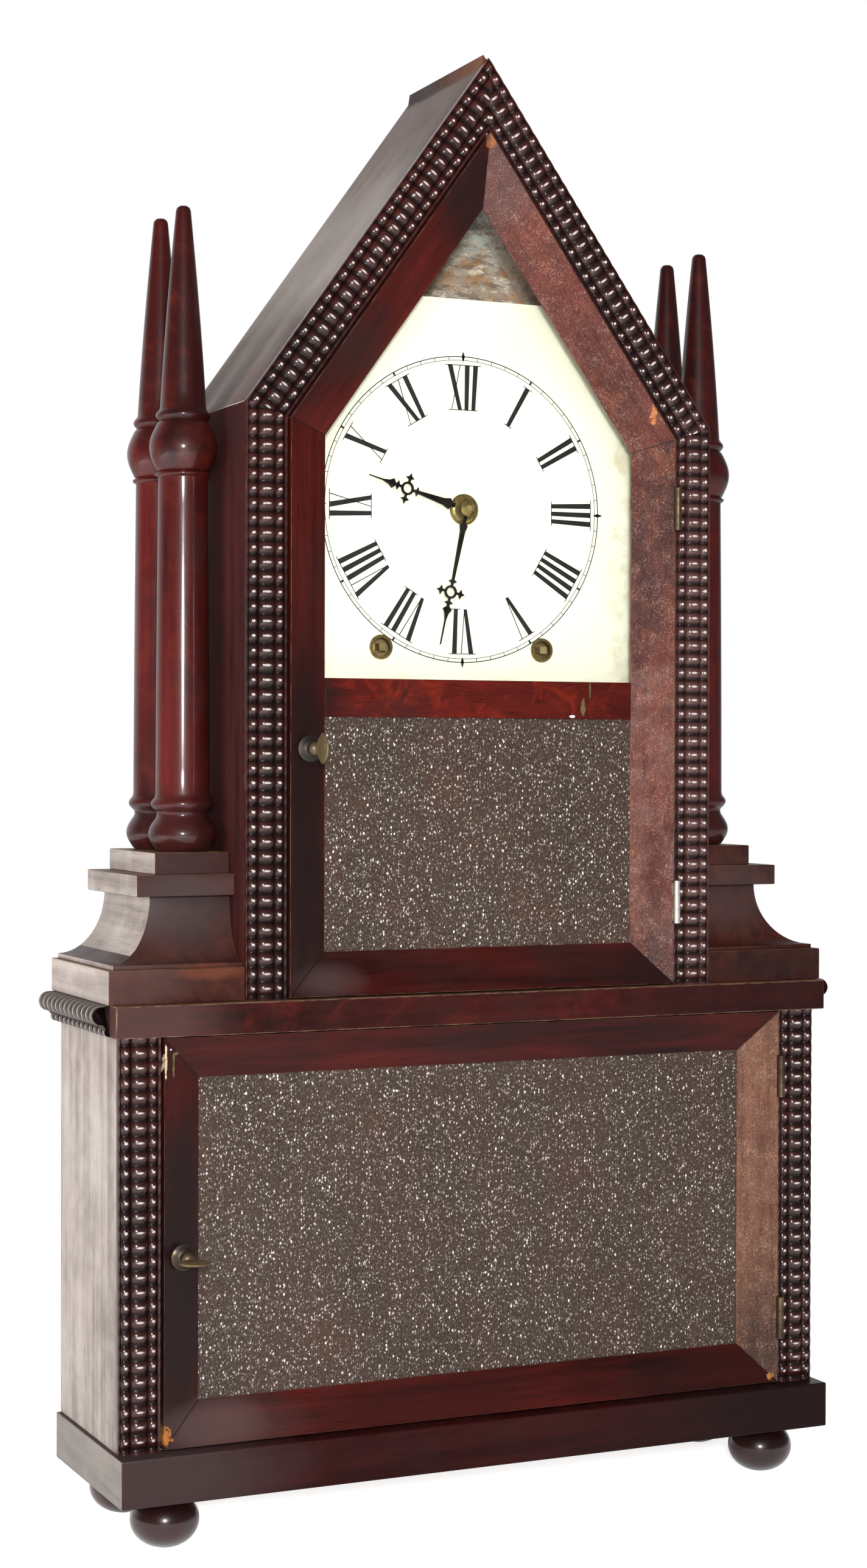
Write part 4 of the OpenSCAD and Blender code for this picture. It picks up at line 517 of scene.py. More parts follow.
looks = {  # finish: how it is made, material, look
    "door": (mahogany, "doorVarnish", door),
    # lighter, hazier copies of the door varnish for the faces of the right-hand members that turn left,
    # towards the lamps: painted light and sheen, with heavier crazing
    "litDoor": (mahogany, "wornDoorVarnish", {
        **door, "deep": (0.022, 0.0055, 0.004), "lit": (0.1, 0.0175, 0.0095), "grime": 0.45,
        "grimeColor": (0.035, 0.012, 0.009), "haze": 0.5, "hazeColor": (0.175, 0.108, 0.092),
        "hazeBelow": 410, "rough": 0.42, "specular": 0.16, "crackle": 0.9, "bump": 0.7,
        "sparkle": (0.5, 0.33, 0.27), "glow": (0.165, 0.042, 0.014), "glowShare": 0.45,
        "patches": [(98, 238, 30, 26, 0.5, "smoke"), (92, 452, 26, 40, 0.35, "smoke"),
                    (8, 618, 20, 28, 0.45, "pale")]}),
    "wornLowerDoor": (mahogany, "wornLowerDoor", {
        **door, "deep": (0.033, 0.0105, 0.006), "lit": (0.155, 0.055, 0.028), "grime": 0.45,
        "grimeColor": (0.05, 0.022, 0.014), "haze": 0.5, "hazeColor": (0.165, 0.088, 0.056), "rough": 0.42,
        "specular": 0.16, "crackle": 0.8, "bump": 0.6, "sparkle": (0.5, 0.36, 0.26),
        "patches": [(150, 48, 22, 45, 0.5, "smoke")]}),
    "rail": (mahogany, "railVarnish", {
        **red, "deep": (0.02, 0.0035, 0.0025), "lit": (0.082, 0.0078, 0.0055), "chips": doorChips,
        "glow": (0.15, 0.014, 0.0055), "glowShare": 0.7, "patches": [(-80, 372, 12, 12, 0.8, "smoke")]}),
    "ripple": (mahogany, "rippleVarnish", {  # paintedHighlight: middle across, half width, half length, strength; pale spots that stand in for highlights
        **red, "deep": (0.012, 0.0035, 0.003), "lit": (0.045, 0.011, 0.0085), "rough": 0.36, "coat": 0.8,
        "coatRough": 0.2, "bump": 0.04, "specular": 0.12, "groove": 0.85,
        "paintedHighlight": [(3.2, 0.85, 0.75, 0.9), (9.45, 2.1, 0.65, 0.75), (15.7, 0.85, 0.75, 0.9)],
        "highlightColor": (0.62, 0.54, 0.5), "patches": [(111, 375, 13, 170, 0.55, "rose")]}),
    "column": (mahogany, "columnVarnish", {
        **red, "deep": (0.012, 0.002, 0.0018), "lit": (0.07, 0.006, 0.005), "rough": 0.4, "coat": 0.5,
        "coatRough": 0.13, "bump": 0.2, "crackle": 0.45, "pores": 0.35, "specular": 0.15, "figure": 7,
        "glow": (0.1, 0.01, 0.0055), "glowShare": 0.3, "darkAbove": 470,
        "patches": [(-134, 312, 30, 22, 0.6, "smoke"), (134, 312, 30, 22, 0.6, "smoke")]}),
    # feet darker above: painted shade under the base, with grime
    "foot": (mahogany, "footVarnish", {
        **red, "deep": (0.01, 0.0025, 0.0025), "lit": (0.042, 0.008, 0.0075), "rough": 0.3, "coat": 0.7,
        "bump": 0.05, "grime": 0.4, "specular": 0.25, "darkAbove": 9, "fade": 7, "darkShare": 0.85}),
    "side": (mahogany, "sideVeneer", {
        **red, "deep": (0.014, 0.0036, 0.0036), "lit": (0.05, 0.0095, 0.009), "rough": 0.48, "coat": 0,
        "haze": 0.15, "hazeColor": (0.06, 0.024, 0.021), "figure": 6, "bump": 0.3}),
    "roof": (mahogany, "roofVeneer", {
        **red, "deep": (0.065, 0.044, 0.036), "lit": (0.135, 0.103, 0.088), "rough": 0.5, "coat": 0,
        "haze": 0.5, "hazeColor": (0.2, 0.165, 0.14), "figure": 6, "bump": 0.4, "specular": 0.3,
        "grimeColor": (0.03, 0.018, 0.015), "frontDark": 0.55, "bareRidge": 660,
        "patches": [(-62, 580, 36, 52, 0.4, "chalk"), (-112, 508, 22, 30, 0.5, "pale"),
                    (-12, 652, 22, 32, 0.6, "pale")]}),
    # the pale patch low on the left side is a painted sheen
    "leftLit": (mahogany, "bleachedVeneer", {**leftLitLook, "patches": [(-176, 172, 60, 30, 0.12, "bloom")]}),
    # the base's left faces: a darker copy of the same, painted light and sheen
    "leftLitBase": (mahogany, "dulledVeneer", {
        **leftLitLook, "deep": (0.08, 0.07, 0.062), "lit": (0.2, 0.175, 0.155), "hazeColor": (0.27, 0.24, 0.215)}),
    "bleachedRipple": (mahogany, "bleachedRipple", {
        **leftLitLook, "deep": (0.035, 0.028, 0.024), "lit": (0.1, 0.083, 0.074), "haze": 0.2,
        "hazeColor": (0.16, 0.14, 0.13), "rough": 0.4, "groove": 0.95,
        "paintedHighlight": [(9.5, 4.5, 0.7, 0.6), (2.2, 1.4, 0.7, 0.6)], "highlightColor": (0.5, 0.45, 0.42)}),
    "plinth": (mahogany, "plinthVeneer", {
        **red, "deep": (0.013, 0.004, 0.003), "lit": (0.085, 0.018, 0.01), "rough": 0.42, "haze": 0.18,
        "grime": 0.65, "hazeColor": (0.075, 0.038, 0.03), "glow": (0.1, 0.018, 0.009), "glowShare": 0.4,
        "patches": [(-142, 280, 36, 28, 0.85, "ash"), (-172, 247, 26, 12, 0.5, "pale"),
                    (-148, 245, 34, 9, 0.3, "smoke"), (-136, 319, 48, 20, 0.85, "ash"),
                    (-110, 262, 8, 7, 0.5, "rust"), (-135, 252, 16, 3.5, 0.4, "rust"),
                    (150, 246, 50, 13, 0.7, "smoke"), (140, 280, 30, 22, 0.65, "ash"),
                    (134, 318, 40, 20, 0.75, "smoke"), (-128, 302, 30, 10, 0.5, "smoke")]}),
    "rubbedEdge": (mahogany, "rubbedEdges", {
        **red, "deep": (0.02, 0.008, 0.006), "lit": (0.07, 0.022, 0.014), "rough": 0.4,
        "wear": (0.17, 0.095, 0.055), "specular": 0.2}),
    "wornTop": (mahogany, "wornTops", {
        **red, "deep": (0.06, 0.022, 0.011), "lit": (0.2, 0.095, 0.05), "rough": 0.5, "coat": 0, "haze": 0.4,
        "hazeColor": (0.16, 0.12, 0.085), "specular": 0.2}),
    "cornice": (mahogany, "corniceVeneer", {
        **red, "deep": (0.012, 0.0035, 0.003), "lit": (0.048, 0.006, 0.0055), "rough": 0.4, "haze": 0.12,
        "hazeColor": (0.05, 0.028, 0.024), "glow": (0.08, 0.01, 0.0075), "glowShare": 0.4, "specular": 0.05,
        "patches": [(150, 231, 110, 24, 0.6, "smoke"), (-175, 231, 45, 20, 0.5, "pale")]}),
    "base": (mahogany, "baseVeneer", {
        **red, "deep": (0.01, 0.002, 0.002), "lit": (0.034, 0.0062, 0.006), "specular": 0.05, "coat": 0.02,
        "patches": [(170, 33, 110, 28, 0.95, "smoke"), (-172, 33, 75, 30, 0.75, "ash")]}),
    "stain": (plainWood, "stainedSoftwood", {
        "deep": (0.03, 0.012, 0.009), "lit": (0.09, 0.04, 0.025), "dirt": (0.02, 0.01, 0.009)}),
    "pine": (plainWood, "bareSoftwood", {
        "deep": (0.2, 0.12, 0.065), "lit": (0.36, 0.25, 0.15), "dirt": (0.09, 0.06, 0.045)}),
    "oldBoard": (oldBoard, "agedBackBoard", paper),
    "paperedRoof": (oldBoard, "paperedRoof", litPaper),
    # the bright spot on one knuckle of the hinges is a painted highlight
    "hinge": (metal, "hingeBrass", {
        "bright": (0.16, 0.11, 0.06), "dull": (0.04, 0.024, 0.017), "rough": 0.34, "from": 0.3, "to": 0.6,
        "shine": (98.6, 278, 5, 11.5), "shineColor": (0.85, 0.8, 0.72)}),
    # the knob's brass is darkened to painted shade, and its fin is painted bright: polish from handling and a
    # painted highlight
    "knob": (metal, "knobBrass", {
        "bright": (0.075, 0.052, 0.03), "dull": (0.022, 0.016, 0.012), "rough": 0.24, "from": 0.3, "to": 0.5,
        "polishAndHighlightFrom": 92, "polishAndHighlight": (0.42, 0.3, 0.14)}),
    "brass": (metal, "agedBrass", {
        "bright": (0.4, 0.28, 0.1), "dull": (0.11, 0.075, 0.03), "rough": 0.22, "size": 160, "from": 0.36,
        "to": 0.6}),
    "movement": (metal, "movementBrass", {
        "bright": (0.7, 0.52, 0.25), "dull": (0.4, 0.28, 0.13), "rough": 0.3, "size": 40}),
    "bell": (metal, "bellMetal", {
        "bright": (0.62, 0.5, 0.32), "dull": (0.36, 0.27, 0.16), "rough": 0.25, "size": 30}),
    "hands": (metal, "handSteel", {
        "bright": (0.02, 0.012, 0.013), "dull": (0.012, 0.008, 0.008), "rough": 0.42, "patina": 0.8}),
    "steel": (metal, "arborSteel", {"bright": (0.42, 0.42, 0.43), "dull": (0.22, 0.18, 0.15), "rough": 0.3}),
    "spring": (metal, "springSteel", {
        "bright": (0.26, 0.27, 0.29), "dull": (0.12, 0.09, 0.075), "rough": 0.38, "size": 50}),
    "iron": (metal, "blackIron", {"bright": (0.09, 0.09, 0.095), "dull": (0.06, 0.045, 0.038), "rough": 0.5}),
    "tablet": (speckledTablet, "speckledTablet", {  # specks: scale per metre, share of the cells, strength
        "dark": (0.014, 0.0085, 0.0062), "pale": (0.042, 0.028, 0.02), "grit": (0.1, 0.072, 0.058),
        "warm": (0.085, 0.026, 0.014), "speck": (0.8, 0.77, 0.78), "speckWarm": (0.7, 0.56, 0.47),
        "specks": [(1050, 0.65, 0.5), (780, 0.6, 0.75), (600, 0.35, 1)], "tall": 0.68}),
    "dial": (creamDial, "creamDial", {
        "cream": (0.9, 0.88, 0.76), "aged": (0.86, 0.83, 0.68), "rim": (0.62, 0.5, 0.32),
        "foxing": (0.5, 0.38, 0.25)}),
    "ink": (blackInk, "dialInk", {"fresh": (0.012, 0.011, 0.012), "worn": (0.12, 0.11, 0.1)}),
    "glass": (clearGlass, "clearGlass", {"tint": (0.97, 0.98, 0.96), "gleam": 0.55}),
    "cord": (twistedCord, "twistedCord", {"hollow": (0.2, 0.15, 0.09), "strand": (0.42, 0.34, 0.22)})}
finishes = {finish: make(name, look) for finish, (make, name, look) in looks.items()}
print("finishes made:", len(finishes))


def addPiece(name, form, finish, body, replaced=(), sharpFrom=32):
    mesh = bpy.data.meshes.new(name)
    form.to_mesh(mesh)
    form.free()
    mesh.shade_smooth()
    mesh.set_sharp_from_angle(angle=math.radians(sharpFrom))
    mesh.materials.append(finishes[finish])
    piece = bpy.data.objects.new(name, mesh)
    scene.collection.objects.link(piece)
    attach(piece, body)
    if replaced:
        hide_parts(*replaced)
    return piece


def setGrain(piece, along, shift):
    # along is a direction, or a function that gives one for the middle of each face
    mesh = piece.data
    values = []
    for face in mesh.polygons:
        run = Vector(along(face.center) if callable(along) else along).normalized()
        side = (run.orthogonal() if abs(run.y) > 0.9 else run.cross(Vector((0, 1, 0)))).normalized()
        for index in face.vertices:
            point = mesh.vertices[index].co
            values += [point.dot(run) + shift, point.dot(side) + shift * 0.7, point.dot(run.cross(side))]
    mesh.attributes.new("grain", "FLOAT_VECTOR", "CORNER").data.foreach_set("vector", values)


def profileSpin(points, steps, centre, axis=(0, 0, 1)):
    # points are [radius, height]; the axis runs through centre
    form = bmesh.new()
    verts = [form.verts.new((radius * mm, 0, height * mm)) for radius, height in points]
    edges = [form.edges.new(pair) for pair in zip(verts, verts[1:])]
    bmesh.ops.spin(form, geom=verts + edges, cent=(0, 0, 0), axis=(0, 0, 1), angle=math.tau, steps=steps,
                   use_merge=True)
    bmesh.ops.remove_doubles(form, verts=form.verts, dist=1e-7)
    bmesh.ops.recalc_face_normals(form, faces=form.faces)
    turn = Vector((0, 0, 1)).rotation_difference(Vector(axis)).to_matrix().to_4x4()
    bmesh.ops.transform(form, matrix=Matrix.Translation(centre) @ turn, verts=form.verts)
    return form


def mergedCopy(node):
    form = bmesh.new()
    form.from_mesh(frame["nodes"][node].data)
    bmesh.ops.remove_doubles(form, verts=form.verts, dist=1e-6)
    bmesh.ops.dissolve_limit(form, angle_limit=math.radians(0.5), verts=form.verts, edges=form.edges)
    return form


def finishFaces(piece, finish, chosen):
    piece.data.materials.append(finishes[finish])
    index = len(piece.data.materials) - 1
    for face in piece.data.polygons:
        if chosen(face):
            face.material_index = index


# Faces up to this width are an eased edge, in mm; faces this close in direction lie in one plane
easing = {"widest": 3, "samePlane": 0.985, "sharpFrom": 28, "rubbedShare": 0.7}


def faceWidth(mesh, face):
    corners = [mesh.vertices[index].co for index in face.vertices]
    longest = max((first - second).length for first, second in zip(corners, corners[1:] + corners[:1]))
    return face.area / longest / mm


def easedFaces(mesh):
    # the faces of the eased edges: narrow, and not in the plane of any broad face
    broad = [face.normal.copy() for face in mesh.polygons if faceWidth(mesh, face) > easing["widest"]]
    return {face.index for face in mesh.polygons if faceWidth(mesh, face) <= easing["widest"]
            and all(face.normal.dot(normal) < easing["samePlane"] for normal in broad)}


def easedBoard(node, name, finish, along, edge, shift):
    # the node's own shape with eased edges and its grain laid along it
    form = mergedCopy(node)
    sharp = [line for line in form.edges
             if len(line.link_faces) == 2 and line.calc_face_angle(0) > math.radians(easing["sharpFrom"])]
    bmesh.ops.bevel(form, geom=sharp, offset=edge * mm, offset_type="OFFSET", affect="EDGES", segments=2,
                    profile=0.5, material=-1, clamp_overlap=True)
    piece = addPiece(name, form, finish, bodyOfNode[node], (node,))
    setGrain(piece, along, shift)
    eased = easedFaces(piece.data)
    for face in piece.data.polygons:
        face.use_smooth = face.index in eased
    return piece


up, across, deep = (0, 0, 1), (1, 0, 0), (0, 1, 0)

# Outer edges of the door frames, in mm, where their members' joints start
doorEdges = {"lowerHalf": 156.2, "lowerFoot": 44.3, "lowerTop": 223.7, "upperHalf": 97.7, "upperFoot": 239.3,
             "upperTip": 632.3}


def roofGrain(point):
    return (math.cos(case["slope"]) * (-1 if point.x > 0 else 1), 0, math.sin(case["slope"]))


def baseGrain(point):
    return across if point.y < at(0, 82, 0).y else deep


def lowerDoorGrain(point):
    z = point.z / mm
    inset = doorEdges["lowerHalf"] - abs(point.x) / mm
    return up if inset < min(z - doorEdges["lowerFoot"], doorEdges["lowerTop"] - z) else across


def upperDoorGrain(point):
    x, z = abs(point.x) / mm, point.z / mm
    inset = doorEdges["upperHalf"] - x
    if z - doorEdges["upperFoot"] < inset:
        return across
    belowGable = (doorEdges["upperTip"] - z - math.tan(case["slope"]) * x) * math.cos(case["slope"])
    return up if inset < belowGable else roofGrain(point)


boards = [  # node, piece, finish, grain, eased edge in mm
    ("base_frame", "baseMoulding", "base", baseGrain, 0.6),
    ("bottom_board", "bottomBoard", "pine", across, 0.3),
    ("lower_sides", "lowerSideBoards", "side", up, 0.4),
    ("lower_back_board", "lowerBackBoard", "pine", across, 0.3),
    ("lower_face_frame", "lowerFaceFrame", "stain", up, 0.3),
    ("cornice_board", "corniceBoard", "cornice", across, 0.7),
    ("plinth_slabs", "plinthSlabs", "plinth", deep, 0.5),
    ("plinth_coves", "plinthCoves", "plinth", deep, 0.3),
    ("plinth_caps", "plinthCaps", "plinth", deep, 0.5),
    ("plinth_steps", "plinthSteps", "plinth", deep, 0.4),
    ("upper_sides", "upperSideBoards", "side", up, 0.4),
    ("roof_boards", "roofBoards", "roof", roofGrain, 0.5),
    ("upper_back_board", "upperBackBoard", "oldBoard", up, 0.3),
    ("upper_face_frame", "upperFaceFrame", "stain", up, 0.3),
    ("upper_door_frame", "upperDoorFrame", "door", upperDoorGrain, 0.5),
    ("upper_mid_rail", "upperMidRail", "rail", across, 0.3),
    ("lower_door_frame", "lowerDoorFrame", "door", lowerDoorGrain, 0.5),
    ("dial_posts", "dialPosts", "pine", up, 0.4)]
edgeOf = {board[0]: board[4] for board in boards}
dressed = {board[0]: easedBoard(*board, number * 0.37) for number, board in enumerate(boards)}


def facesLeft(face):
    return face.normal.x < -0.55 and face.center.x < 0


def rubEdges(node):
    mesh = dressed[node].data
    eased = easedFaces(mesh)
    widest = edgeOf[node] * easing["rubbedShare"]
    finishFaces(dressed[node], "rubbedEdge",
                lambda face: face.index in eased and faceWidth(mesh, face) < widest)


# Faces turned to the left get a paler, greyer copy of their veneer: painted light and sheen on that side. On
# the hinge side, the door members' faces that turn left get a lighter, hazier copy of the door varnish:
# painted light and sheen from the lamps
for node in ("lower_sides", "plinth_slabs", "plinth_coves", "plinth_caps", "plinth_steps"):
    finishFaces(dressed[node], "leftLit", facesLeft)
finishFaces(dressed["base_frame"], "leftLitBase", facesLeft)
# the roof's underside seen through the glass gets the back board's look, brightened: painted light in the
# shade under the roof
for node in ("roof_boards", "upper_face_frame"):
    finishFaces(dressed[node], "paperedRoof", lambda face: face.normal.z < -0.2)
# the door members' faces that turn left get the lit copies: painted light and sheen
for node, worn in (("upper_door_frame", "litDoor"), ("lower_door_frame", "wornLowerDoor")):
    finishFaces(dressed[node], worn, lambda face: face.normal.x < -0.12 and face.center.x > 0)
for node in ("base_frame", "cornice_board", "plinth_slabs", "plinth_caps", "plinth_steps", "upper_door_frame",
             "lower_door_frame", "upper_sides", "lower_sides"):
    rubEdges(node)
for node in ("plinth_slabs", "plinth_caps", "plinth_steps", "cornice_board"):
    finishFaces(dressed[node], "wornTop", lambda face: face.normal.z > 0.9)
finishFaces(dressed["upper_back_board"], "pine", lambda face: face.normal.y > 0.5)
print("boards dressed:", len(boards))


# Where the rows of points lie across a moulding, in mm: over bead, broad roll and bead
rippleStops = [0, 0.1, 0.75, 0.87, 1.2, 1.75, 2.45, 3.2, 3.95, 4.65, 5.2, 5.5, 5.62, 6.1, 6.9, 8.1, 9.45,
               10.8, 12, 12.8, 13.3, 13.42, 13.7, 14.25, 14.95, 15.7, 16.45, 17.15, 17.7, 18, 18.2, 19.3,
               19.5]


def onLip(inset):
    return inset < ripple["lipEnds"][0] or inset > ripple["lipEnds"][1]


def rippleHeight(inset):
    base, radius = ripple["base"], ripple["beadRadius"]
    height = base
    if onLip(inset):
        height = ripple["lip"] - (ripple["lipEdge"] if inset in (0, case["rippleWidth"]) else 0)
    for centre in ripple["beads"]:
        off = abs(inset - centre) / radius
        if off < 1:
            height = max(height, base + radius * math.sqrt(1 - off ** 2))
    off = abs(inset - ripple["rollMiddle"]) / ripple["rollHalf"]
    if off < 1:
        height = max(height, base + (ripple["rollTop"] - base) * (1 - off ** ripple["rollShape"]) ** 0.5)
    return height


def rippleWave(run):
    # 0 on a ripple's crest and 1 at the bottom of the groove between two ripples
    return 1 - abs(math.sin(math.pi * run / ripple["pitch"])) ** ripple["crestShape"]


def rippledGrid(stops, length):
    # a grid of unit size, one column for each stop, and the layer that the finish reads its ripples from
    form = bmesh.new()
    bmesh.ops.create_grid(form, x_segments=len(stops) - 1, size=0.5,
                          y_segments=round(length / ripple["pitch"] * ripple["rowsPerRipple"]))
    return form, form.verts.layers.float_vector.new("strip")


def stopAt(vert, stops):
    return stops[round((vert.co.x + 0.5) * (len(stops) - 1))]


def closeRipples(form, name, finish, node, along, shift):
    bmesh.ops.recalc_face_normals(form, faces=form.faces)
    setGrain(addPiece(name, form, finish, "case", (node,), 48), along, shift)


def rippledStrip(name, length, place, span, node, along, shift):
    # span(inset) gives where the strip starts and ends; place(inset, run, height) puts a point on the case
    form, strip = rippledGrid(rippleStops, length)
    for vert in form.verts:
        inset = stopAt(vert, rippleStops)
        start, end = span(inset)
        run = start + (vert.co.y + 0.5) * (end - start)
        share = ripple["lipDip"] if onLip(inset) else 1
        height = max(rippleHeight(inset) - ripple["dip"] * rippleWave(run) * share, ripple["lowest"])
        # the third value of strip marks the grooves and quirks, where the finish paints shade
        between = 1 - (height - 1) / 2 if 1 < inset < 18 else 0  # the quirks are hollows too
        vert[strip] = (run, inset, max(rippleWave(run), between) * share)
        vert.co = (inset, run, height)
    skirt = bmesh.ops.extrude_edge_only(form, edges=[edge for edge in form.edges if edge.is_boundary])
    for item in skirt["geom"]:
        if isinstance(item, bmesh.types.BMVert):
            item.co.z = ripple["foot"]
    bmesh.ops.holes_fill(form, edges=[edge for edge in form.edges if edge.is_boundary], sides=0)
    for vert in form.verts:
        vert.co = place(vert.co.x, vert.co.y, vert.co.z)
    closeRipples(form, name, "ripple", node, along, shift)


def stile(side, half):
    return lambda inset, run, height: at(side * (half - inset), case["boards"] + height, run)


def gable(side):
    lean, rise = math.cos(case["slope"]), math.sin(case["slope"])

    def place(inset, run, height):
        x = -case["upperHalf"] + run * lean + inset * rise
        return at(-side * x, case["boards"] + height, case["shoulder"] + run * rise - inset * lean)
    return place


def halfAt(inset):
    return case["upperHalf"] - inset


def ridgeAt(inset):
    return case["ridge"] - inset / math.cos(case["slope"])


def shoulderAt(inset):
    return ridgeAt(inset) - math.tan(case["slope"]) * halfAt(inset)


def alongGable(x, z):
    lean, rise = math.cos(case["slope"]), math.sin(case["slope"])
    return (x + case["upperHalf"]) * lean + (z - case["shoulder"]) * rise


def lowerSpan(inset):
    return case["lowerFoot"], case["lowerTop"]


def upperSpan(inset):
    return case["deck"], shoulderAt(inset)


def gableSpan(inset):
    return alongGable(-halfAt(inset), shoulderAt(inset)), alongGable(0, ridgeAt(inset))


for side, word in ((-1, "Left"), (1, "Right")):
    rippledStrip("upperRipple" + word, 265, stile(side, case["upperHalf"]), upperSpan, "upper_ripples", up,
                 3.1 + side)
    rippledStrip("gableRipple" + word, 200, gable(side), gableSpan, "gable_ripples", roofGrain, 4.3 + side)
    rippledStrip("lowerRipple" + word, 181, stile(side, case["lowerHalf"]), lowerSpan, "lower_ripples", up,
                 5.7 + side)

# Ripple moulding under each end of the cornice; its section is [out, up] from its foot, in mm
cornice = {"inner": 179.5, "foot": 224.5, "depth": 83, "dip": 2.2, "roll": (4, 9.5), "bead": (0.6, 2.2),
           "beadTop": 4.6, "beadDip": 0.5, "quirk": 4.4, "quirkReach": 1.4, "wall": 0.5, "rollFrom": 2.3,
          "leastShare": 0.3,
           "section": [(0, 0.2), (1.0, 0.25), (1.9, 0.7), (2.5, 1.5), (2.65, 2.4), (2.4, 3.3), (2.0, 4.1),
                       (2.2, 4.8), (3.4, 5.05), (4.8, 5.1), (6.2, 5.6), (7.4, 6.6), (8.2, 8.0), (8.5, 9.5),
                       (8.2, 11.0), (7.4, 12.4), (6.2, 13.4), (4.6, 13.9), (2.4, 14.0), (0, 14.0)]}


def cornicePoint(out, rise, run):
    # a groove draws the section in towards the middle of its roll or its bead
    onBead = rise < cornice["beadTop"]
    middle = cornice["bead"] if onBead else cornice["roll"]
    reach = math.hypot(out - middle[0], rise - middle[1])
    if out < cornice["wall"] or reach < 0.1:
        return out, rise
    dip = cornice["dip"] * (cornice["beadDip"] if onBead else 1) * rippleWave(run)
    draws = onBead or out > cornice["rollFrom"]
    shrink = max(cornice["leastShare"], 1 - dip / reach) if draws else 1
    return middle[0] + (out - middle[0]) * shrink, middle[1] + (rise - middle[1]) * shrink


def corniceEnd(side, word, finish):
    form, strip = rippledGrid(cornice["section"], cornice["depth"])
    for vert in form.verts:
        run = (vert.co.y + 0.5) * cornice["depth"]
        out, rise = cornicePoint(*stopAt(vert, cornice["section"]), run)
        # the quirk is marked as a hollow too, where the finish paints shade
        quirk = 1 - abs(rise - cornice["quirk"]) / cornice["quirkReach"]
        vert[strip] = (run, rise, max(rippleWave(run), quirk))
        vert.co = at(side * (cornice["inner"] + out), run, cornice["foot"] + rise)
    bmesh.ops.holes_fill(form, edges=[edge for edge in form.edges if edge.is_boundary], sides=0)
    closeRipples(form, "corniceRipple" + word, finish, "cornice_ripples", deep, 6.1 + side)


# the left end of the cornice ripple gets the left-lit copy: painted light and sheen
corniceEnd(-1, "Left", "bleachedRipple")
corniceEnd(1, "Right", "ripple")
print("ripple mouldings made")


# Turned columns: radii and heights above the step they stand on, in mm
column = {"x": 134, "depths": (47, 15.5), "foot": 303.5, "bunRadius": 15.4, "shaftFoot": 26, "shaftTop": 171,
          "shaftLow": 12.2, "shaftHigh": 11.2, "shaftSwell": 0.12, "ballRadius": 15.3, "spireFoot": 199.5,
          "spireTop": 288.6, "spireLow": 10.5, "spireTaper": 7.1, "spireSwell": 0.45, "rows": 12, "steps": 72}


def bulge(low, height, inner, outer, steps=10):
    return [(inner + (outer - inner) * math.sin(math.pi * i / steps), low + height * i / steps)
            for i in range(steps + 1)]


def shaftRadius(row):
    taper = column["shaftLow"] + (column["shaftHigh"] - column["shaftLow"]) * row / column["rows"]
    return taper + column["shaftSwell"] * math.sin(math.pi * row / column["rows"])


def spireRadius(row):
    taper = column["spireLow"] - column["spireTaper"] * (row / column["rows"])
    return taper + column["spireSwell"] * math.sin(math.pi * row / column["rows"])


def columnProfile():
    # from the foot up: bun, ring, shaft, collar, ball, ring, spire
    foot, top, spire = column["shaftFoot"], column["shaftTop"], column["spireFoot"]
    rows = column["rows"]
    shape = [(0, 0), (11, 0)] + bulge(0.8, 14.2, 12.2, column["bunRadius"])
    shape += [(11.7, 16), (11.6, 17.6), (12.2, 18.3)] + bulge(18.6, 5.8, 12.6, 14.3, 8)
    shape += [(12.4, 25.2), (column["shaftLow"], foot)]
    shape += [(shaftRadius(i), foot + (top - 3.4 - foot) * i / rows) for i in range(1, rows + 1)]
    shape += bulge(top - 2.6, 2.6, 11.3, 12.8, 6) + bulge(top + 0.5, 21, 11.9, column["ballRadius"], 14)
    shape += [(10.8, top + 22.8)] + bulge(top + 23.2, 4.2, 11.2, 12.4, 6)
    shape += [(spireRadius(i), spire + (column["spireTop"] - spire) * i / rows) for i in range(rows + 1)]
    return shape + [(3, 289.8), (2, 290.7), (0, 291)]


feet = {"x": 152.5, "depths": (78, 19), "height": 22.5, "radius": 15.3, "widestAt": 0.52, "fullness": 1.05,
        "rows": 20, "steps": 64}


def footProfile():
    middle = feet["height"] * feet["widestAt"]
    points = [(0, 0)]
    for row in range(feet["rows"] + 1):
        z = feet["height"] * row / feet["rows"]
        off = (z - middle) / (middle * feet["fullness"])
        points.append((feet["radius"] * math.sqrt(max(0, 1 - off ** 2)), z))
    return points + [(0, feet["height"])]


for side, word in ((-1, "left"), (1, "right")):
    for number, depth in enumerate(column["depths"]):
        form = profileSpin(columnProfile(), column["steps"], at(side * column["x"], depth, column["foot"]))
        piece = addPiece(f"{word}Column{number + 1}", form, "column", "case",
                         ("columns_" + word,), 50)
        setGrain(piece, up, 1.9 * (number + 1) + side)
for side, word in ((-1, "left"), (1, "right")):
    for depth, end in zip(feet["depths"], ("Front", "Rear")):
        form = profileSpin(footProfile(), feet["steps"], at(side * feet["x"], depth, 0))
        piece = addPiece(word + end + "Foot", form, "foot", "case", ("bun_feet",), 50)
        setGrain(piece, up, depth * 0.1 + side)
print("columns and feet turned")


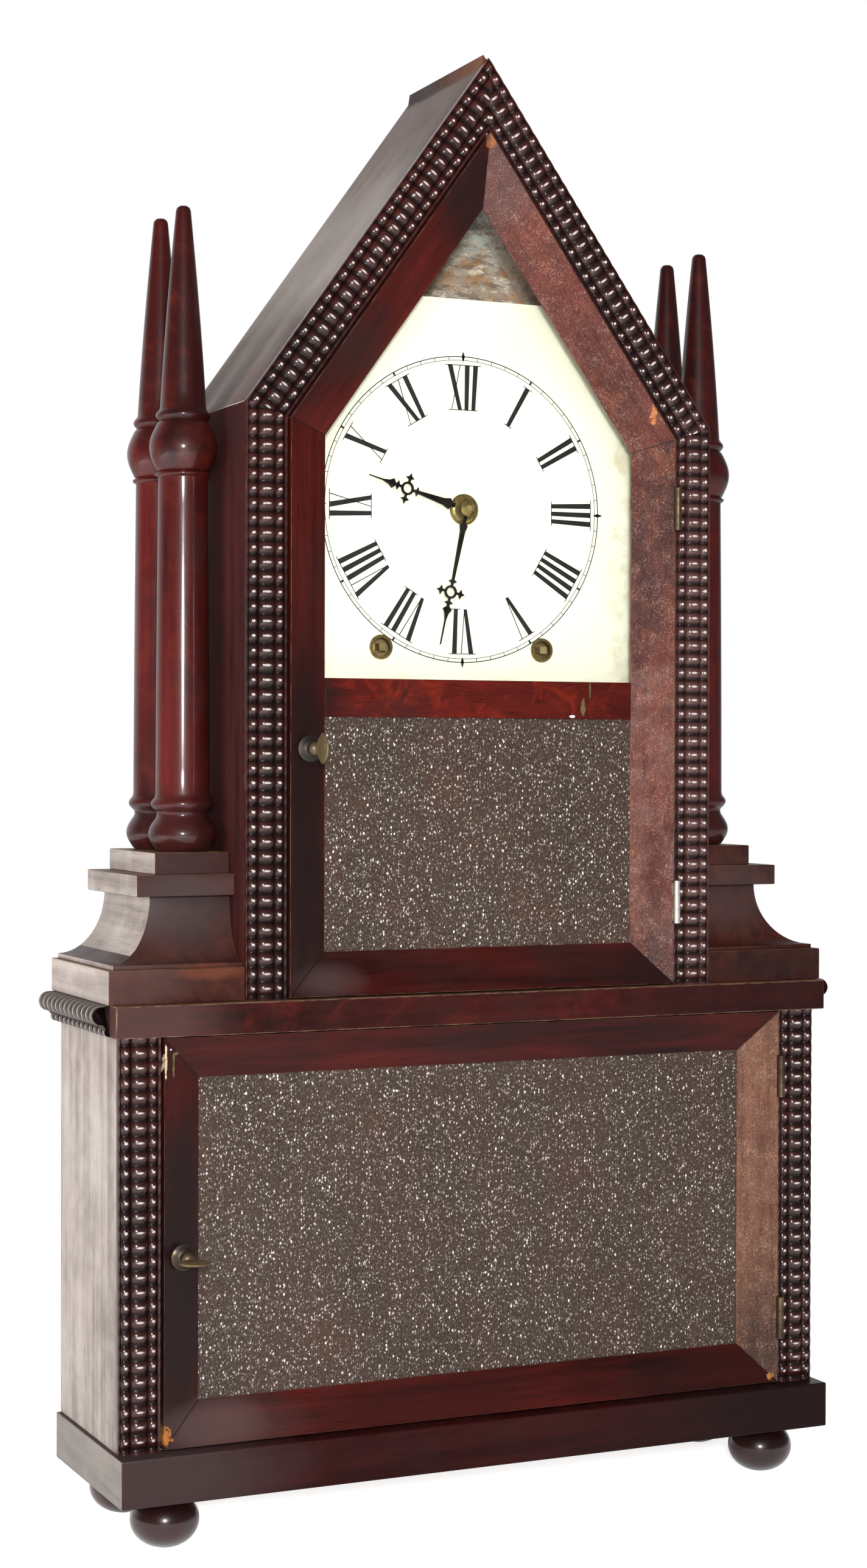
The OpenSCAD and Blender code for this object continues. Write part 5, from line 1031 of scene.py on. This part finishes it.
# Dial figures: radii, and widths of strokes and letters, in mm; lift is the thickness of the ink
dial = {"centre": (0, 462.2), "depth": 59.01, "track": 71.5, "trackInner": 69.8, "trackHalf": 0.22,
        "innerHalf": 0.13, "fiveHalf": 0.5, "minuteHalf": 0.15, "diamond": (2.6, 0.9), "numeralOuter": 67.5,
        "numeralInner": 46.6, "thick": 2.25, "thin": 0.42, "serif": 0.38, "overhang": 0.5, "lift": 0.05,
        "widths": {"I": 3.95, "V": 7.6, "X": 7.8}, "legIn": 1.7, "xPast": 0.3,
        "vFoot": (0.4, 0.9), "vPast": 0.4, "vNarrow": 0.85}
dial["numeralMiddle"] = (dial["numeralInner"] + dial["numeralOuter"]) / 2
numerals = ["I", "II", "III", "IIII", "V", "VI", "VII", "VIII", "IX", "X", "XI", "XII"]


def dialPoint(radius, angle, sideways):
    turn = math.radians(angle)
    x = dial["centre"][0] + radius * math.sin(turn) + sideways * math.cos(turn)
    z = dial["centre"][1] + radius * math.cos(turn) - sideways * math.sin(turn)
    return at(x, dial["depth"], z)


def inkQuad(form, corners):
    form.faces.new([form.verts.new(corner) for corner in corners])


def fanOut(radius):
    # figures are wider at their outer ends
    return 0.45 + 0.55 * radius / dial["numeralMiddle"]


def inkStroke(form, angle, low, high, width, innerShare=1):
    # low and high are the stroke's middle at the inner and outer end, in mm sideways at the middle radius
    inner, outer = dial["numeralInner"], dial["numeralOuter"]
    corners = [(inner, low, -1, width * innerShare), (inner, low, 1, width * innerShare),
               (outer, high, 1, width), (outer, high, -1, width)]
    inkQuad(form, [dialPoint(radius, angle, (middle + side * thick / 2) * fanOut(radius))
                   for radius, middle, side, thick in corners])


def inkSerif(form, angle, radius, left, right):
    half = dial["serif"] / 2
    inkQuad(form, [dialPoint(radius + out, angle, x * fanOut(radius)) for out, x in
                   ((-half, left), (-half, right), (half, right), (half, left))])


def drawNumeral(form, text, angle):
    widths, thick, thin = dial["widths"], dial["thick"], dial["thin"]
    thickFoot, thinFoot = dial["vFoot"]
    place = -sum(widths[letter] for letter in text) / 2
    for letter in text:
        width = widths[letter]
        middle = place + width / 2
        reach = width / 2 - dial["legIn"]
        if letter == "I":
            inkStroke(form, angle, middle, middle, thick)
        elif letter == "V":
            inkStroke(form, angle, middle + thickFoot, middle - reach, thick, dial["vNarrow"])
            inkStroke(form, angle, middle + thinFoot, middle + reach + dial["vPast"], thin)
        else:
            inkStroke(form, angle, middle + reach, middle - reach, thick)
            inkStroke(form, angle, middle - reach - dial["xPast"], middle + reach + dial["xPast"], thin)
        left, right = place - dial["overhang"], place + width + dial["overhang"]
        if letter != "V":
            inkSerif(form, angle, dial["numeralInner"], left, right)
        inkSerif(form, angle, dial["numeralOuter"], left, right)
        place += width


def inkRing(form, radius, half, steps=240):
    rings = []
    centre = at(dial["centre"][0], dial["depth"], dial["centre"][1])
    for reach in (radius - half, radius + half):
        ring = bmesh.ops.create_circle(form, segments=steps, radius=reach * mm)["verts"]
        for vert in ring:
            vert.co = centre + Vector((vert.co.x, 0, vert.co.y))
        rings += [edge for edge in form.edges if edge.verts[0] in ring and edge.verts[1] in ring]
    bmesh.ops.bridge_loops(form, edges=rings)


def drawDial():
    form = bmesh.new()
    inner, outer = dial["trackInner"], dial["track"]
    inkRing(form, outer, dial["trackHalf"])
    inkRing(form, inner, dial["innerHalf"])
    for minute in range(60):
        half = dial["minuteHalf"] if minute % 5 else dial["fiveHalf"]
        inkQuad(form, [dialPoint(radius, minute * 6, x) for radius, x in
                       ((inner, -half), (inner, half), (outer, half), (outer, -half))])
    long, wide = dial["diamond"]
    for quarter in range(4):
        inkQuad(form, [dialPoint(radius, quarter * 90, x) for radius, x in
                       ((outer - long, 0), (outer, wide), (outer + long, 0), (outer, -wide))])
    for number, text in enumerate(numerals):
        drawNumeral(form, text, 30 * (number + 1))
    bmesh.ops.recalc_face_normals(form, faces=form.faces)
    for face in form.faces:
        if face.normal.y > 0:
            face.normal_flip()
    raised = bmesh.ops.extrude_face_region(form, geom=form.faces[:])
    top = [item for item in raised["geom"] if isinstance(item, bmesh.types.BMVert)]
    bmesh.ops.translate(form, verts=top, vec=(0, -dial["lift"] * mm, 0))
    bmesh.ops.recalc_face_normals(form, faces=form.faces)
    addPiece("dialNumerals", form, "ink", "case", sharpFrom=20)


drawDial()


# Turn knobs: where they stand on the doors, and how far their fins are turned, in mm and degrees
latches = {"upper": {"x": -87.95, "z": 350, "turn": 0}, "lower": {"x": -146.95, "z": 127.5, "turn": 90}}

# Their shape: depths in mm, and the baluster's [radius, height] above the face of the door
knob = {"foot": 73, "face": 86.6, "tip": 108, "spindle": 1.6, "finHalf": 7, "finDeep": 7, "finThick": 2.2,
        "finRound": 0.75, "waist": 0.45, "steps": 40,
        "tongue": {"back": 71.5, "front": 73, "width": 6, "length": 15.5, "below": 1.5, "eased": 0.4},
        "baluster": [(5.4, 0), (6, 0.3), (5.9, 0.8), (4.6, 1.1), (4, 1.7), (2.4, 2.2), (1.9, 3.4), (2.2, 4.6),
                     (3, 5.2), (3.1, 6.4), (2.5, 7.2), (1.5, 7.9), (0, 8.2)]}


def turnKnob(turn):
    # made standing up, its height counted as depth; the tongue points down the door along y
    face = knob["face"]
    spindle = [(0, knob["foot"]), (knob["spindle"], knob["foot"]), (knob["spindle"], face)]
    baluster = [(radius, face + rise) for radius, rise in knob["baluster"]]
    form = profileSpin(spindle + baluster, knob["steps"], Vector())
    deep, half, thick = knob["finDeep"], knob["finHalf"], knob["finThick"]
    middle = knob["tip"] - deep
    fin = bmesh.ops.create_uvsphere(form, u_segments=32, v_segments=16, radius=1)["verts"]
    for vert in fin:
        x, y, z = vert.co
        vert.co = (math.copysign(abs(x) ** knob["finRound"], x) * thick / 2, y * half, middle + z * deep)
        if vert.co.z < middle:
            vert.co.y *= knob["waist"] + (1 - knob["waist"]) * (vert.co.z - (middle - deep)) / deep
        vert.co *= mm
    bmesh.ops.transform(form, matrix=Matrix.Rotation(math.radians(turn), 4, "Z"), verts=fin)
    size = knob["tongue"]
    tongue = bmesh.ops.create_cube(form, size=1)["verts"]
    for vert in tongue:
        depth = (size["back"] + size["front"]) / 2 + vert.co.z * (size["front"] - size["back"])
        vert.co = Vector((vert.co.x * size["width"], size["below"] + vert.co.y * size["length"], depth)) * mm
    edges = {edge for vert in tongue for edge in vert.link_edges}
    bmesh.ops.bevel(form, geom=list(edges), offset=size["eased"] * mm, offset_type="OFFSET", affect="EDGES",
                    segments=2, profile=0.5, material=-1)
    laidBack = Matrix(((1, 0, 0, 0), (0, 0, -1, 0), (0, -1, 0, 0), (0, 0, 0, 1)))
    bmesh.ops.transform(form, matrix=laidBack, verts=form.verts)
    return form


for word, latch in latches.items():
    form = turnKnob(latch["turn"])
    bmesh.ops.translate(form, verts=form.verts, vec=at(latch["x"], 0, latch["z"]))
    bmesh.ops.recalc_face_normals(form, faces=form.faces)
    addPiece(word + "TurnKnob", form, "knob", word + "_latch", (word + "_knob",), 40)

# Domed brass washer that covers the hour hand's boss: its depth, and [radius, height] of its rim and dome
collet = {"foot": 60.25, "steps": 56,
          "dome": [(7.25, 0), (7.25, 0.5), (6.75, 1.05), (5.4, 1.78), (4.9, 1.84)]}


def addCollet():
    foot, dome = collet["foot"], collet["dome"]
    points = [(0, foot)] + [(radius, foot + rise) for radius, rise in dome] + [(0, foot + dome[-1][1])]
    form = profileSpin(points, collet["steps"], at(dial["centre"][0], 0, dial["centre"][1]), (0, -1, 0))
    addPiece("handCollet", form, "brass", "hour_shaft", sharpFrom=40)


addCollet()
print("dial drawn, knobs made")


# Nodes that keep the shape they have in the frame
nodesByFinish = {
    "hinge": ["case_hinge_leaves", "upper_door_leaves", "lower_door_leaves"],
    "glass": ["dial_glass"], "tablet": ["upper_tablet", "lower_tablet"], "dial": ["dial_plate"],
    "brass": ["winding_grommets", "hand_nut", "pendulum"], "hands": ["hour_hand", "minute_hand"],
    "movement": ["front_plate", "back_plate", "movement_pillars", "great_wheel_time", "second_wheel",
                 "centre_arbor", "third_wheel", "escape_wheel", "minute_wheel", "great_wheel_strike",
                 "pin_wheel", "warning_wheel", "fly"],
    "steel": ["verge", "hammer"], "bell": ["bell"], "spring": ["wagon_spring"],
    "iron": ["spring_clamp", "lift_levers"], "cord": ["drive_cords"]}
for finish, nodes in nodesByFinish.items():
    for node in nodes:
        mesh = frame["nodes"][node].data
        mesh.materials.clear()
        mesh.materials.append(finishes[finish])


# Floor and daylight: half the floor's side in metres, its tone and glow, how much of it reflections see,
# and where the daylight behind the clock begins and is full
stage = {"half": 6, "tone": (0.86, 0.86, 0.85), "glow": 0.8, "inGlossy": 0.35, "behind": (0.3, 0.8),
         "fill": 0.3, "dimmed": 0.6}


def raysSeen(tree):
    path = tree.nodes.new("ShaderNodeLightPath")
    return [Socket(tree, path.outputs[f"Is {kind} Ray"]) for kind in ("Camera", "Glossy", "Transmission")]


def addFloor():
    finish = Finish("paleFloor")
    camera, glossy, through = raysSeen(finish.tree)
    shown = (camera + glossy * stage["inGlossy"] + through).atMost(1)
    diffuse = finish.add("ShaderNodeBsdfDiffuse", {}, {"Color": stage["tone"]})
    glow = finish.add("ShaderNodeEmission", {}, {"Color": (1, 1, 1), "Strength": stage["glow"]})
    both = finish.add("ShaderNodeAddShader", {}, {0: diffuse, 1: glow})
    shader = finish.add("ShaderNodeMixShader", {}, {0: shown, 1: diffuse, 2: both})
    finish.add("ShaderNodeOutputMaterial", {}, {"Surface": shader})
    form = bmesh.new()
    bmesh.ops.create_grid(form, x_segments=1, y_segments=1, size=stage["half"])
    mesh = bpy.data.meshes.new("floor")
    form.to_mesh(mesh)
    form.free()
    mesh.materials.append(finish.material)
    floor = bpy.data.objects.new("floor", mesh)
    scene.collection.objects.link(floor)


def addWorld():
    # the camera sees white all round, reflections see it only behind the clock
    world = bpy.data.worlds.new("studio")
    world.use_nodes = True
    tree = world.node_tree
    tree.nodes.clear()
    camera, glossy, through = raysSeen(tree)
    facing = tree.nodes.new("ShaderNodeSeparateXYZ")
    tree.links.new(tree.nodes.new("ShaderNodeTexCoord").outputs["Generated"], facing.inputs[0])
    behind = rangeMask(Socket(tree, facing.outputs["Y"]), *stage["behind"])
    shown = (camera + through + glossy * behind).atMost(1)
    strength = (shown * (1 - stage["fill"]) + stage["fill"]) * (1 - glossy * (1 - behind) * stage["dimmed"])
    background = tree.nodes.new("ShaderNodeBackground")
    background.inputs["Color"].default_value = (1, 1, 1, 1)
    tree.links.new(strength.link, background.inputs["Strength"])
    output = tree.nodes.new("ShaderNodeOutputWorld")
    tree.links.new(background.outputs[0], output.inputs["Surface"])
    scene.world = world


lamps = {  # place in mm, aim in mm, width and height in mm, watts
    "flash": ((-560, -1300, 470), (0, 0, 370), (110, 110), 21),
    "frontSoft": ((-700, -1500, 1300), (0, 0, 330), (900, 900), 17),
    "leftSoft": ((-1600, -60, 400), (0, 0, 330), (700, 240), 24)}


def addLamps():
    for name, (place, aim, size, watts) in lamps.items():
        data = bpy.data.lights.new(name, "AREA")
        data.shape = "RECTANGLE"
        data.size, data.size_y = (side * mm for side in size)
        data.energy = watts
        lamp = bpy.data.objects.new(name, data)
        lamp.visible_glossy = name == "flash"  # the soft lamps would draw white lines down the columns
        lamp.location = Vector(place) * mm
        lamp.rotation_euler = (Vector(aim) - Vector(place)).to_track_quat("-Z", "Y").to_euler()
        scene.collection.objects.link(lamp)


addFloor()
addWorld()
addLamps()
print("stage lit")
